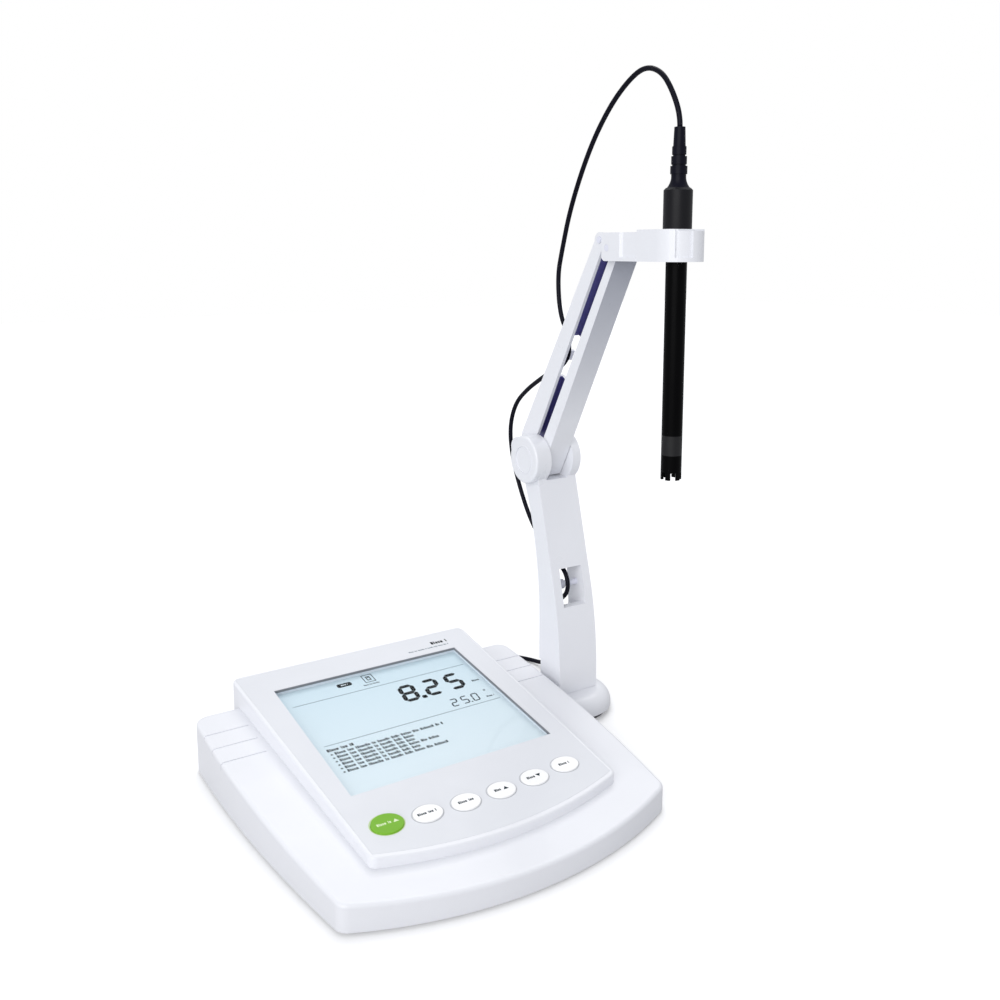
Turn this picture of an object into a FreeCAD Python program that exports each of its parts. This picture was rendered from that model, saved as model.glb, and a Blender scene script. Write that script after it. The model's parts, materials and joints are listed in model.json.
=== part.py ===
"""Benchtop dissolved-oxygen meter with a two-link electrode arm, in millimetres.

Sub-parts are drawn in the frame of the case: X to the right, Y to the back, Z up, X = 0 on the centre
plane of the case and Z = 0 on the bench. Placements move them to the origin of the part, the middle of
its footprint. The inclined face, the arm and the two links have frames of their own.
"""
import FreeCAD, Part
import math
import os
import re
import Sketcher

from FreeCAD import Placement, Rotation, Vector

SIZES = {
    # the origin of the part, in the frame of the case
    "origin_x": 23.744, "origin_y": 87.389,
    # case: a wedge with a bowed front, and a raised box that carries the inclined face
    "case_front_half": 96.5, "case_front_corner_y": -5.5, "case_front_radius": 218.0,
    "case_side_radius": 980.0, "case_rear_half": 108.6, "case_rear_y": 179.0, "case_bottom_z": 1.5,
    "case_corner_radius": 8.0, "wall": 2.5, "wing_z": 16.0, "wing_slope": 5.0, "wing_block_top": 45.0,
    "box_front_half": 74.0, "box_front_corner_y": 9.4, "box_front_radius": 219.0,
    "box_rear_half": 81.6, "box_rear_y": 191.8, "box_corner_radius": 5.0, "box_block_top": 60.0,
    "panel_z": 21.2, "panel_slope": 7.0, "edge_round": 2.0, "panel_edge_round": 1.2,
    "groove_width": 0.9, "groove_depth": 0.8, "groove_start": 82.6, "groove_first_y": 126.4,
    "groove_pitch": 15.2, "groove_tick": 4.5,
    # bottom cover, feet and screws
    "cover_bottom_z": 3.6, "cover_thick": 2.2, "cover_gap": 0.2, "foot_radius": 7.0, "foot_x": 82.0,
    "foot_front_y": 18.0, "foot_rear_y": 166.0, "screw_front_x": 56.0, "screw_front_y": 8.0,
    "screw_rear_x": 74.0, "screw_rear_y": 152.0, "boss_radius": 3.6, "screw_radius": 1.5,
    "screw_head_radius": 2.9, "screw_length": 9.0, "screw_head_thick": 1.4,
    # inclined face: lengths along the slope, depths below its surface
    "panel_front": 9.5, "panel_rear": 193.2, "faceplate_inset": 2.1, "faceplate_thick": 1.0,
    "plate_gap": 0.08, "window_half": 62.8, "window_front": 56.0, "window_length": 112.6,
    "window_sink": 1.5, "window_thick": 1.4, "top_wall": 3.4, "lcd_half": 66.5, "lcd_front": 52.5,
    "lcd_length": 119.6, "lcd_thick": 2.6, "backlight_thick": 3.0, "frame_rim": 3.0, "frame_depth": 7.5,
    # keys
    "key_pitch": 21.75, "key_row_x": -1.8, "key_row_front": 24.3, "key_row_radius": 445.0,
    "key_long": 8.1, "key_short": 6.4, "first_key_long": 8.7, "first_key_short": 7.5,
    "key_proud": 0.9, "key_flange": 1.2, "key_flange_thick": 1.0, "key_stem": 1.3,
    "key_gap": 0.1, "key_round": 0.5, "mat_depth": 6.4, "mat_thick": 1.0, "dome_height": 0.3,
    "dome_radius": 4.5, "mat_front": 14.0, "mat_length": 26.0, "mat_half": 68.0, "key_board_thick": 1.6,
    # board and sockets
    "board_half": 68.0, "board_front": 74.0, "board_length": 100.0, "board_z": 11.0, "board_thick": 1.6,
    "socket_z": 21.0, "probe_socket_x": 48.0, "temperature_socket_x": 20.0, "usb_socket_x": -20.0,
    "power_socket_x": -52.0, "probe_socket_radius": 4.8, "small_socket_radius": 4.0,
    "socket_flange": 2.2, "socket_flange_thick": 1.5, "socket_inner": 12.0,
    "probe_socket_reach": 11.0, "small_socket_reach": 2.5,
    # foot of the electrode arm
    "arm_x": 128.0, "swivel_y": 126.5, "hub_radius": 28.5, "hub_base_z": 3.8, "hub_top_z": 15.0,
    "hub_round": 9.5, "plate_z": 1.5, "plate_thick": 2.0, "plate_half": 17.0, "plate_inner_x": 62.0,
    "plate_screw_x": 76.0, "plate_screw_y": 9.0, "ring_thick": 1.5, "ring_half_width": 3.0,
    "plate_disc_radius": 25.0, "post_radius": 5.0, "post_top_z": 8.0, "dock_gap": 1.0,
    # column, in the plane of the arm
    "column_half": 15.1, "column_front_y": 115.6, "column_rear_y": 139.4, "column_foot_z": 9.0,
    "column_bend_z": 28.0, "column_front_radius": 250.0, "column_front_top_z": 84.0,
    "column_front_top_y": 122.4, "column_rear_radius": 240.0, "column_rear_bend_z": 58.0,
    "column_rear_top_y": 157.0, "column_rear_top_z": 150.0, "column_wall": 2.4, "column_core_top": 66.0,
    "tunnel_half": 8.9, "tunnel_bottom_z": 72.8, "tunnel_top_z": 97.6, "tunnel_flare": 16.0,
    "ear_radius": 15.9, "rear_ear_radius": 7.4, "slot_half": 8.7, "slot_floor_z": 154.6,
    "swing_radius": 18.8, "swing_height": 18.0, "hook_radius": 2.0, "hook_y": 131.5, "hook_z": 85.0,
    "hook_length": 11.0, "hook_lip_radius": 3.2, "hook_lip_thick": 1.5, "shoulder_front_y": 6.0,
    "shoulder_rise": 3.0, "shoulder_rear_y": 4.0, "shoulder_rear_drop": 5.0,
    # pivots and links
    "pivot_y": 151.5, "pivot_z": 168.0, "pair_y": 15.5, "pair_z": 4.8, "lean": 29.2,
    "link_length": 159.2, "link_half": 8.2, "link_wall": 2.2, "cap_radius": 15.9, "cap_thick": 5.4,
    "cap_round": 1.5, "cap_ring": 9.6, "cap_ring_width": 0.8, "cap_ring_height": 0.4, "bolt_radius": 4.0,
    "right_cap_radius": 8.0, "right_cap_thick": 2.0, "pin_radius": 2.0, "pin_proud": 0.6,
    "running_gap": 0.06, "loose_gap": 0.3, "washer_thick": 0.4,
    "washer_radius": 6.4, "front_knuckle": 6.6, "front_top_knuckle": 4.8, "rear_knuckle": 7.0,
    "rear_top_knuckle": 4.5, "web_stop": 6.5, "link_window_bottom": 54.5, "link_window_top": 88.0,
    "clip_bottom": 68.0, "clip_height": 7.0, "clip_thick": 2.0, "clip_rear": 6.3,
    # sections of the links: distances before and behind the line of their pivots
    "front_web": 7.7, "front_web_top": 3.8, "front_web_foot": 9.7, "front_foot_radius": 12.4,
    "front_web_taper": 4.0, "front_lip": 2.1, "front_lip_foot": 12.2, "front_channel_foot": 6.0,
    "rear_lip": 6.9, "rear_lip_top": 5.0, "rear_web": 8.6, "rear_web_top": 3.5, "rear_web_foot": 6.0,
    "rear_heel": 5.0, "rear_heel_drop": 4.5, "rear_channel_foot": 3.0,
    # holder head
    "head_bottom_z": 299.4, "head_top_z": 315.8, "crown": 1.3, "crown_step": 0.3, "crown_front_y": 20.3,
    "head_half": 15.1, "neck_half": 13.5, "waist_bevel": 1.4, "head_rear_y": 78.4, "neck_rear_y": 62.2,
    "barrel_rear_y": 47.4, "ledge": 2.3, "hood_wall": 2.4,
    "hood_front_y": 64.0, "tongue_half": 5.0, "tongue_bottom_z": 309.8, "tongue_end": 3.6,
    "tongue_length": 8.5,
    "probe_y": 30.5, "ring_radius": 14.8, "pocket_depth": 1.5, "pocket_left": -10.6,
    "pocket_right": -1.5, "cheek_round": 3.0,
    # probe
    "grip_radius": 8.4, "shaft_radius": 5.9, "shaft_wall": 1.5, "grip_gap": 0.06, "band_top_z": 201.8,
    "band_bottom_z": 190.5, "guard_bottom_z": 176.3, "guard_teeth_top_z": 180.5, "tooth_gap_half": 1.5,
    "stem_radius": 2.5, "stem_bottom_z": 182.0, "stem_top_z": 240.0, "shaft_top_z": 335.0,
    "cap_bottom_z": 317.3, "probe_cap_radius": 8.0, "cap_top_z": 339.5, "cap_bevel": 1.2,
    "relief_base": 6.4, "relief_flare_z": 346.0, "relief_flare_radius": 9.0, "relief_rib": 4.65,
    "relief_taper": 0.38, "relief_groove": 0.55, "relief_gap": 0.9, "relief_pitch": 5.2,
    "relief_collar": 3.4, "relief_tip": 3.0, "relief_top_z": 372.0,
    # cable and its plug at the back of the case
    "cable_radius": 1.5, "plug_radius": 7.2, "plug_start_y": 196.5, "plug_end_y": 213.0,
    "plug_bore": 4.9, "plug_bore_length": 8.0, "boot_end_y": 228.0, "boot_radius": 4.4,
    "boot_tip_radius": 2.4,
    # how far a cutter goes past what it cuts
    "past": 20.0,
}

# The route of the cable in the frame of the case: up out of the strain relief, over and down behind the
# arm, through the clip of the rear link, round the hook in the column, and along the bench to the plug.
ROUTE = [
    (128.0, 30.5, 372.0), (128.0, 30.5, 378.5), (128.1, 37.5, 392.5), (128.0, 46.5, 403.5),
    (127.8, 60.0, 408.0), (127.6, 74.0, 402.5), (127.4, 91.5, 389.0), (127.4, 110.5, 366.0),
    (127.7, 129.0, 332.5), (128.0, 138.5, 304.5), (128.2, 143.0, 289.0), (128.3, 140.5, 265.0),
    (128.2, 131.5, 252.0), (128.0, 128.6, 240.5), (128.0, 135.0, 231.8), (128.2, 147.0, 227.0),
    (128.4, 162.0, 219.5), (128.4, 178.0, 210.5), (128.2, 192.5, 199.0), (128.0, 199.5, 181.0),
    (128.2, 196.5, 160.0), (128.6, 187.0, 139.0), (128.4, 173.5, 119.0), (127.2, 156.0, 106.5),
    (126.2, 140.0, 99.8), (125.8, 126.8, 93.8), (125.9, 124.5, 81.8), (126.6, 134.5, 72.8),
    (128.0, 148.5, 64.8), (133.0, 158.5, 50.0), (140.0, 165.5, 32.0), (146.5, 173.5, 14.5),
    (149.5, 186.0, 3.6), (147.5, 202.0, 1.6), (138.0, 216.0, 1.6), (122.0, 223.0, 1.6),
    (102.0, 227.0, 1.6), (80.0, 233.0, 1.6), (58.0, 238.0, 1.6), (36.0, 239.0, 1.6),
    (14.0, 236.0, 1.6), (-6.0, 232.0, 1.6), (-23.0, 232.5, 1.6), (-36.0, 236.5, 1.6),
    (-43.0, 245.5, 1.6), (-40.0, 256.0, 1.6), (-30.0, 261.5, 1.6), (-14.0, 262.5, 1.6),
    (4.0, 261.0, 1.6), (22.0, 262.5, 1.8), (37.0, 258.5, 5.0), (46.0, 251.0, 14.5),
    (48.0, 240.0, 21.0), (48.0, 228.0, 21.0),
]
# The stretches of the cable: the numbers of their first and last points, and each stretch meets the next
# halfway along the run that follows its last point.
STRETCHES = {"cable_probe": (0, 3), "cable_head": (4, 9), "cable_link": (10, 19), "cable_column": (20, 29),
             "cable_bench": (30, 53)}

doc = FreeCAD.newDocument("benchtop_meter")
sheet = doc.addObject("Spreadsheet::Sheet", "sizes")
for row, (name, number) in enumerate(SIZES.items(), start=1):
    sheet.set(f"A{row}", name)
    sheet.set(f"B{row}", str(number))
    sheet.setAlias(f"B{row}", name)
doc.recompute()

WORD = re.compile(r"[a-z_]+")
TERM = re.compile(r"([+-]?)\s*([a-z_0-9.]+)(?:\s*([*/])\s*([a-z_0-9.]+))?")
NODES = {}


# ---------------------------------------------------------------- formulas and drawing

def number_of(word):
    """The value of a plain number or of a named size."""
    return float(word) if word[0].isdigit() else float(sheet.get(word))


def value(formula):
    """The value of a sum of terms, each a number or a size, perhaps times or over another."""
    total = 0.0
    for sign, first, operator, second in TERM.findall(str(formula)):
        term = number_of(first)
        if operator == "*":
            term *= number_of(second)
        if operator == "/":
            term /= number_of(second)
        total += -term if sign == "-" else term
    return total


def bound(formula):
    """The same sum as an expression on the cells of the sheet."""
    return WORD.sub(lambda word: "sizes." + word.group(0), str(formula))


def minus(formula):
    """The same sum with every sign turned round."""
    flipped = []
    for sign, first, operator, second in TERM.findall(str(formula)):
        flipped.append(("+ " if sign == "-" else "- ") + first + operator + second)
    return " ".join(flipped)


def plane_of(body, role):
    return next(part for part in body.Origin.OriginFeatures if part.Role == role)


def sketch_on(body, role, height):
    """An empty sketch parallel to one of the body's planes, height along the plane's normal."""
    sketch = body.newObject("Sketcher::SketchObject", f"{body.Name}_sketch")
    sketch.AttachmentSupport = [(plane_of(body, role), "")]
    sketch.MapMode = "FlatFace"
    sketch.AttachmentOffset = Placement(Vector(0, 0, value(height)), Rotation())
    sketch.setExpression(".AttachmentOffset.Base.z", bound(height))
    return sketch


def bind(sketch, kind, elements, formula):
    index = sketch.addConstraint(Sketcher.Constraint(kind, *elements, value(formula)))
    sketch.setExpression(f"Constraints[{index}]", bound(formula))


def draw_outline(sketch, points):
    """Draws a closed outline. A point is (u, v), or (u, v, radius, side) where an arc starts: side 1
    bulges to the left of its chord and -1 to the right."""
    corners = [Vector(value(point[0]), value(point[1]), 0) for point in points]
    ends = []
    for index, point in enumerate(points):
        start, end = corners[index], corners[(index + 1) % len(points)]
        if len(point) == 2:
            ends.append((sketch.addGeometry(Part.LineSegment(start, end)), 1, 2))
            continue
        radius, half = value(point[2]), (end - start).Length / 2
        normal = Vector(start.y - end.y, end.x - start.x, 0).normalize() * point[3]
        middle = (start + end) / 2 + normal * (radius - math.sqrt(radius ** 2 - half ** 2))
        edge = sketch.addGeometry(Part.ArcOfCircle(start, middle, end))
        forward = (sketch.getPoint(edge, 1) - start).Length < 1e-6
        ends.append((edge, 1, 2) if forward else (edge, 2, 1))
        bind(sketch, "Radius", (edge,), point[2])
    for index, (edge, first, last) in enumerate(ends):
        following = ends[(index + 1) % len(ends)]
        sketch.addConstraint(Sketcher.Constraint("Coincident", edge, last, following[0], following[1]))
        bind(sketch, "DistanceX", (-1, 1, edge, first), points[index][0])
        bind(sketch, "DistanceY", (-1, 1, edge, first), points[index][1])


def draw_circle(sketch, centre, radius):
    middle = Vector(value(centre[0]), value(centre[1]), 0)
    edge = sketch.addGeometry(Part.Circle(middle, Vector(0, 0, 1), value(radius)))
    bind(sketch, "DistanceX", (-1, 1, edge, 3), centre[0])
    bind(sketch, "DistanceY", (-1, 1, edge, 3), centre[1])
    bind(sketch, "Radius", (edge,), radius)


def draw_ellipse(sketch, centre, long_radius, short_radius):
    """An ellipse along the axes, locked at the sizes read from the sheet."""
    middle = Vector(value(centre[0]), value(centre[1]), 0)
    edge = sketch.addGeometry(Part.Ellipse(middle, value(long_radius), value(short_radius)))
    sketch.addConstraint(Sketcher.Constraint("Block", edge))


def rectangle(u0, u1, v0, v1):
    return [(u0, v0), (u1, v0), (u1, v1), (u0, v1)]


def feature(body, kind, sketch, length, both_ways):
    """Pads or pockets a sketch along its plane's normal, or to both sides of it."""
    before = 0.0 if kind == "Pad" else body.Shape.Volume
    made = body.newObject(f"PartDesign::{kind}", f"{body.Name}_{kind.lower()}")
    made.Profile = sketch
    made.Length = value(length)
    made.setExpression("Length", bound(length))
    if both_ways:
        made.SideType = "Symmetric"
    elif kind == "Pocket":
        made.Reversed = True
    doc.recompute()
    if kind == "Pocket" and body.Shape.Volume > before - 1e-3:
        raise RuntimeError(f"{made.Name} cuts nothing")
    return made


def add(body, role, drawing, height, length, both_ways=False, cut=False):
    """Adds or cuts a prism. The drawing is an outline, (centre, radius) or (centre, long, short)."""
    sketch = sketch_on(body, role, height)
    if isinstance(drawing, list):
        draw_outline(sketch, drawing)
    elif len(drawing) == 2:
        draw_circle(sketch, *drawing)
    else:
        draw_ellipse(sketch, *drawing)
    return feature(body, "Pocket" if cut else "Pad", sketch, length, both_ways)


def prism(name, role, drawing, height, length, both_ways=False):
    """A body of one prism."""
    body = doc.addObject("PartDesign::Body", name)
    add(body, role, drawing, height, length, both_ways)
    return body


def turned(name, points):
    """A body turned about Z from an outline of (radius, height)."""
    body = doc.addObject("PartDesign::Body", name)
    sketch = sketch_on(body, "XZ_Plane", "0")
    draw_outline(sketch, points)
    made = body.newObject("PartDesign::Revolution", f"{name}_revolution")
    made.Profile = sketch
    made.ReferenceAxis = (sketch, ["V_Axis"])
    made.Angle = 360.0
    doc.recompute()
    return body


def tube(name, inner, outer, bottom, top):
    return turned(name, [(inner, bottom), (outer, bottom), (outer, top), (inner, top)])


def round_edges(body, radius, wanted):
    """Rounds the edges of the body's last feature that the test picks out."""
    base = body.Tip
    names = [f"Edge{i}" for i, edge in enumerate(base.Shape.Edges, start=1) if wanted(edge)]
    if not names:
        raise RuntimeError(f"{body.Name}: no edge to round")
    made = body.newObject("PartDesign::Fillet", f"{body.Name}_fillet")
    made.Base = (base, names)
    made.Radius = value(radius)
    made.setExpression("Radius", bound(radius))
    doc.recompute()
    return made


def upright(edge):
    box = edge.BoundBox
    return box.XLength < 1e-6 and box.YLength < 1e-6 and box.ZLength > 1e-3


def fuse(name, items):
    made = doc.addObject("Part::MultiFuse", name)
    made.Shapes = items
    doc.recompute()
    return made


def cut(name, base, tools):
    made = doc.addObject("Part::Cut", name)
    made.Base = base
    made.Tool = tools[0] if len(tools) == 1 else fuse(f"{name}_tools", tools)
    doc.recompute()
    return made


def set_frame(item, base, tilt="0"):
    """Moves an item to a frame at base, turned about X by tilt degrees."""
    item.Placement = Placement(Vector(*map(value, base)), Rotation(Vector(1, 0, 0), value(tilt)))
    for axis, formula in zip("xyz", base):
        item.setExpression(f".Placement.Base.{axis}", bound(formula))
    if tilt != "0":
        item.setExpression(".Placement.Rotation.Angle", bound(tilt))
    return item


def node(label, item, base=("0", "0", "0"), tilt="0"):
    """Names a finished sub-part and places it; the label is the name of its file."""
    set_frame(item, [f"{base[0]} - origin_x", f"{base[1]} - origin_y", base[2]], tilt)
    item.Label = label
    NODES[label] = item


ARM = ("arm_x", "0", "0")
PANEL = (("0", "0", "panel_z"), "panel_slope")
FRONT_LINK = (("arm_x", "pivot_y", "pivot_z"), "lean")
REAR_LINK = (("arm_x", "pivot_y + pair_y", "pivot_z + pair_z"), "lean")


# ---------------------------------------------------------------- case

def case_outline(inset):
    """The plan of the case: bowed front, slightly bowed sides and straight back."""
    side, rear = f"case_front_half {minus(inset)}", f"case_rear_half {minus(inset)}"
    front_y, rear_y = f"case_front_corner_y + {inset}", f"case_rear_y {minus(inset)}"
    return [(minus(side), front_y, "case_front_radius", -1), (side, front_y, "case_side_radius", -1),
            (rear, rear_y), (minus(rear), rear_y, "case_side_radius", -1)]


def box_outline(inset, front_y="box_front_corner_y", rear_y="box_rear_y"):
    """The plan of the raised box: bowed front, sides that open towards the back."""
    side, rear = f"box_front_half {minus(inset)}", f"box_rear_half {minus(inset)}"
    return [(minus(side), f"{front_y} + {inset}", "box_front_radius", -1),
            (side, f"{front_y} + {inset}"), (rear, f"{rear_y} {minus(inset)}"),
            (minus(rear), f"{rear_y} {minus(inset)}")]


def sloped_block(name, outline, bottom, top, start, slope):
    """A block with the given plan, cut off by a plane that rises to the back from start."""
    body = prism(name, "XY_Plane", outline, bottom, f"{top} - {bottom}")
    if not name.startswith("under"):
        round_edges(body, f"{name}_corner_radius", upright)
    reach = 300.0
    climb = math.tan(math.radians(value(slope)))
    low, high = f"{start} - {reach * climb:.6f}", f"{start} + {reach * climb:.6f}"
    above = [(f"-{reach}", low), (f"{reach}", high), (f"{reach}", "400"), (f"-{reach}", "400")]
    add(body, "YZ_Plane", above, "0", "600", both_ways=True, cut=True)
    if not name.startswith("under"):
        def on_slope(edge):
            return all(abs(v.Z - value(start) - v.Y * climb) < 1e-4 for v in edge.Vertexes)
        round_edges(body, "edge_round" if name == "case" else "panel_edge_round", on_slope)
    return body


def key_centre(index):
    """The middle of a key on the inclined face; the row is a shallow arc."""
    offset = (index - 2.5) * value("key_pitch")
    radius = value("key_row_radius")
    bow = radius - math.sqrt(radius ** 2 - offset ** 2)
    return f"key_row_x + {index} * key_pitch - 2.5 * key_pitch", f"key_row_front + {bow:.4f}"


def key_ellipse(index, grow="0"):
    """The outline of a key, grown all round; the first key is larger."""
    first = "first_key" if index == 0 else "key"
    return key_centre(index), f"{first}_long + {grow}", f"{first}_short + {grow}"


def window_outline(grow="0"):
    return rectangle(f"- window_half - {grow}", f"window_half + {grow}", f"window_front - {grow}",
                     f"window_front + window_length + {grow}")


def panel_openings(name):
    """Cutters for the display opening and the six key holes, in the frame of the inclined face."""
    drawings = [window_outline("key_gap")] + [key_ellipse(index, "key_gap") for index in range(6)]
    return [prism(f"{name}_opening{i}", "XY_Plane", drawing, "-12", "16")
            for i, drawing in enumerate(drawings)]


def side_x(y):
    """Half the width of the case at y, on its bowed side."""
    start = Vector(value("case_front_half"), value("case_front_corner_y"), 0)
    end = Vector(value("case_rear_half"), value("case_rear_y"), 0)
    radius = value("case_side_radius")
    inward = Vector(start.y - end.y, end.x - start.x, 0).normalize()
    centre = (start + end) / 2 + inward * math.sqrt(radius ** 2 - ((end - start).Length / 2) ** 2)
    return centre.x + math.sqrt(radius ** 2 - (y - centre.y) ** 2)


def groove_cutters():
    """Three fine grooves across each wing, each turning down the side wall for a short way."""
    cutters = []
    for index in range(3):
        y = f"groove_first_y + {index} * groove_pitch"
        top = value("wing_z") + value(y) * math.tan(math.radians(value("wing_slope")))
        edge = side_x(value(y))
        across = rectangle(f"{y} - groove_width / 2", f"{y} + groove_width / 2",
                           f"{top:.4f} - groove_depth", f"{top:.4f} + 3")
        down = rectangle(f"{y} - groove_width / 2", f"{y} + groove_width / 2",
                         f"{top:.4f} - groove_tick", f"{top:.4f} + 3")
        cutters.append(prism(f"groove_right{index}", "YZ_Plane", across, "groove_start", "40"))
        cutters.append(prism(f"groove_left{index}", "YZ_Plane", across, "- groove_start - 40", "40"))
        cutters.append(prism(f"tick_right{index}", "YZ_Plane", down, f"{edge:.4f} - groove_depth", "9"))
        cutters.append(prism(f"tick_left{index}", "YZ_Plane", down, f"groove_depth - {edge:.4f} - 9", "9"))
    return cutters


def at_screws(name, radius, bottom, length):
    """A cylinder at each of the four screws of the bottom cover."""
    places = {f"{name}_{end}{index}": (f"{side} screw_{end}_x", f"screw_{end}_y")
              for end in ("front", "rear") for index, side in enumerate(("", "-"))}
    return [prism(label, "XY_Plane", (place, radius), bottom, length) for label, place in places.items()]


SOCKETS = {"probe_socket": "probe_socket_radius", "temperature_socket": "small_socket_radius",
           "usb_socket": "small_socket_radius", "power_socket": "small_socket_radius"}


def at_back_wall(name, x, radius, start_y, length):
    """A cylinder along Y through the back wall, from start_y towards the front."""
    return prism(name, "XZ_Plane", ((x, "socket_z"), radius), minus(start_y), length)


def make_top_housing():
    case = sloped_block("case", case_outline("0"), "case_bottom_z", "wing_block_top", "wing_z", "wing_slope")
    box = sloped_block("box", box_outline("0"), "case_bottom_z", "box_block_top", "panel_z", "panel_slope")
    outside = fuse("housing_outside", [case, box])
    under_case = sloped_block("under_case", case_outline("wall"), "0", "wing_block_top", "wing_z - wall",
                              "wing_slope")
    under_box = sloped_block("under_box", box_outline("wall"), "0", "box_block_top", "panel_z - top_wall",
                             "panel_slope")
    inside = fuse("housing_inside", [under_case, under_box])
    swivel = ("arm_x", "swivel_y")
    dock_wall = prism("dock_wall", "XY_Plane", (swivel, "hub_radius + dock_gap + wall"), "case_bottom_z",
                      "hub_top_z + dock_gap + wall - case_bottom_z")
    bosses = at_screws("boss", "boss_radius", "cover_bottom_z + cover_thick", "40")
    cavity = cut("housing_cavity", inside, [dock_wall, *bosses])
    dock = prism("dock", "XY_Plane", (swivel, "hub_radius + dock_gap"), "0", "hub_top_z + dock_gap")
    plate_slot = prism("plate_slot", "XY_Plane",
                       rectangle("plate_inner_x - 1", "arm_x", "swivel_y - plate_half - 1",
                                 "swivel_y + plate_half + 1"), "0", "cover_bottom_z")
    recess = prism("faceplate_recess", "XY_Plane",
                   box_outline("faceplate_inset", "panel_front", "panel_rear"), "- faceplate_thick", "6")
    on_panel = [set_frame(item, *PANEL) for item in [recess, *panel_openings("housing")]]
    pilots = at_screws("pilot", "screw_radius + running_gap", "0", "screw_length + 6")
    holes = [at_back_wall(f"{name}_hole", f"{name}_x", f"{radius} + running_gap", "box_rear_y + 2", "12")
             for name, radius in SOCKETS.items()]
    node("top_housing", cut("housing", outside, [cavity, dock, plate_slot, *on_panel, *pilots, *holes,
                                                 *groove_cutters()]))


def make_bottom_cover():
    plate = prism("cover", "XY_Plane", case_outline("wall + cover_gap"), "cover_bottom_z", "cover_thick")
    round_edges(plate, "case_corner_radius - wall", upright)
    dock = prism("cover_dock", "XY_Plane",
                 (("arm_x", "swivel_y"), "hub_radius + dock_gap + wall + cover_gap"), "0", "past")
    holes = at_screws("cover_hole", "screw_radius + running_gap", "0", "past")
    heads = at_screws("cover_head", "screw_head_radius + running_gap", "0",
                      "cover_bottom_z + screw_head_thick")
    threads = plate_screw_prisms("cover_thread", "screw_radius + running_gap", "0", "past")
    tail = prism("cover_tail", "XY_Plane", box_outline("wall + cover_gap"), "cover_bottom_z", "cover_thick")
    whole = fuse("cover_whole", [plate, tail])
    node("bottom_cover", cut("bottom_plate", whole, [dock, *holes, *heads, *threads]))


def make_feet():
    feet = [prism(f"foot{i}", "XY_Plane", ((x, y), "foot_radius"), "0", "cover_bottom_z")
            for i, (x, y) in enumerate([("foot_x", "foot_front_y"), ("- foot_x", "foot_front_y"),
                                        ("foot_x", "foot_rear_y"), ("- foot_x", "foot_rear_y")])]
    node("rubber_feet", compound("feet", feet))


def compound(name, items):
    """Separate solids kept as one group."""
    made = doc.addObject("Part::Compound", name)
    made.Links = items
    doc.recompute()
    return made


def make_housing_screws():
    heads = at_screws("screw_head", "screw_head_radius", "cover_bottom_z", "screw_head_thick")
    shanks = at_screws("screw_shank", "screw_radius", "cover_bottom_z + screw_head_thick",
                       "screw_length - screw_head_thick")
    node("housing_screws", compound("screws", [fuse(f"screw{i}", list(pair))
                                               for i, pair in enumerate(zip(heads, shanks))]))


def make_faceplate():
    outline = box_outline("faceplate_inset + plate_gap", "panel_front", "panel_rear")
    plate = prism("face", "XY_Plane", outline, "- faceplate_thick", "faceplate_thick")
    node("faceplate", cut("face_cut", plate, panel_openings("face")), *PANEL)


def make_display():
    node("display_window", prism("window", "XY_Plane", window_outline(), "- window_sink - window_thick",
                                 "window_thick"), *PANEL)
    glass = rectangle("- lcd_half", "lcd_half", "lcd_front", "lcd_front + lcd_length")
    node("lcd_module", prism("lcd", "XY_Plane", glass, "- top_wall - lcd_thick", "lcd_thick"), *PANEL)
    node("backlight", prism("light", "XY_Plane", glass, "- top_wall - lcd_thick - backlight_thick",
                            "backlight_thick"), *PANEL)
    tray = prism("tray", "XY_Plane", rectangle("- lcd_half - frame_rim", "lcd_half + frame_rim",
                                               "lcd_front - frame_rim", "lcd_front + lcd_length + frame_rim"),
                 "- top_wall - frame_depth", "frame_depth")
    depth = "lcd_thick + backlight_thick"
    add(tray, "XY_Plane", rectangle("- lcd_half - plate_gap", "lcd_half + plate_gap", "lcd_front - plate_gap",
                                    "lcd_front + lcd_length + plate_gap"),
        f"- top_wall - {depth.replace('+', '-')}", depth, cut=True)
    node("lcd_frame", tray, *PANEL)


KEYS = ["key_measure", "key_mode", "key_cal", "key_up", "key_down", "key_enter"]


def make_key(index, name):
    """A key: an oval button, with a flange that stops it under the housing wall."""
    key = prism(name, "XY_Plane", key_ellipse(index), "- top_wall - key_stem",
                "top_wall + key_stem + key_proud")

    def on_top(edge):
        return abs(edge.BoundBox.ZMin - value("key_proud")) < 1e-4
    round_edges(key, "key_round", on_top)
    add(key, "XY_Plane", key_ellipse(index, "key_flange"),
        "- top_wall - running_gap - key_flange_thick", "key_flange_thick")
    node(name, key, *PANEL)


def make_key_electronics():
    outline = rectangle("- mat_half", "mat_half", "mat_front", "mat_front + mat_length")
    mat = prism("mat", "XY_Plane", outline, "- mat_depth - mat_thick", "mat_thick")
    for index in range(6):
        add(mat, "XY_Plane", (key_centre(index), "dome_radius"), "- mat_depth", "dome_height")
    node("key_mat", mat, *PANEL)
    node("key_board", prism("keyboard", "XY_Plane", outline, "- mat_depth - mat_thick - key_board_thick",
                            "key_board_thick"), *PANEL)
    node("main_board", prism("board", "XY_Plane", rectangle("- board_half", "board_half", "board_front",
                                                            "board_front + board_length"),
                             "board_z", "board_thick"))


def make_sockets():
    for name, radius in SOCKETS.items():
        reach = "probe_socket_reach" if name == "probe_socket" else "small_socket_reach"
        barrel = at_back_wall(f"{name}_barrel", f"{name}_x", radius, f"box_rear_y + {reach}",
                              f"{reach} + socket_inner")
        flange = at_back_wall(f"{name}_flange", f"{name}_x", f"{radius} + socket_flange",
                              "box_rear_y + socket_flange_thick", "socket_flange_thick")
        node(name, fuse(f"{name}_piece", [barrel, flange]))


# ---------------------------------------------------------------- foot of the arm and column

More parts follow.
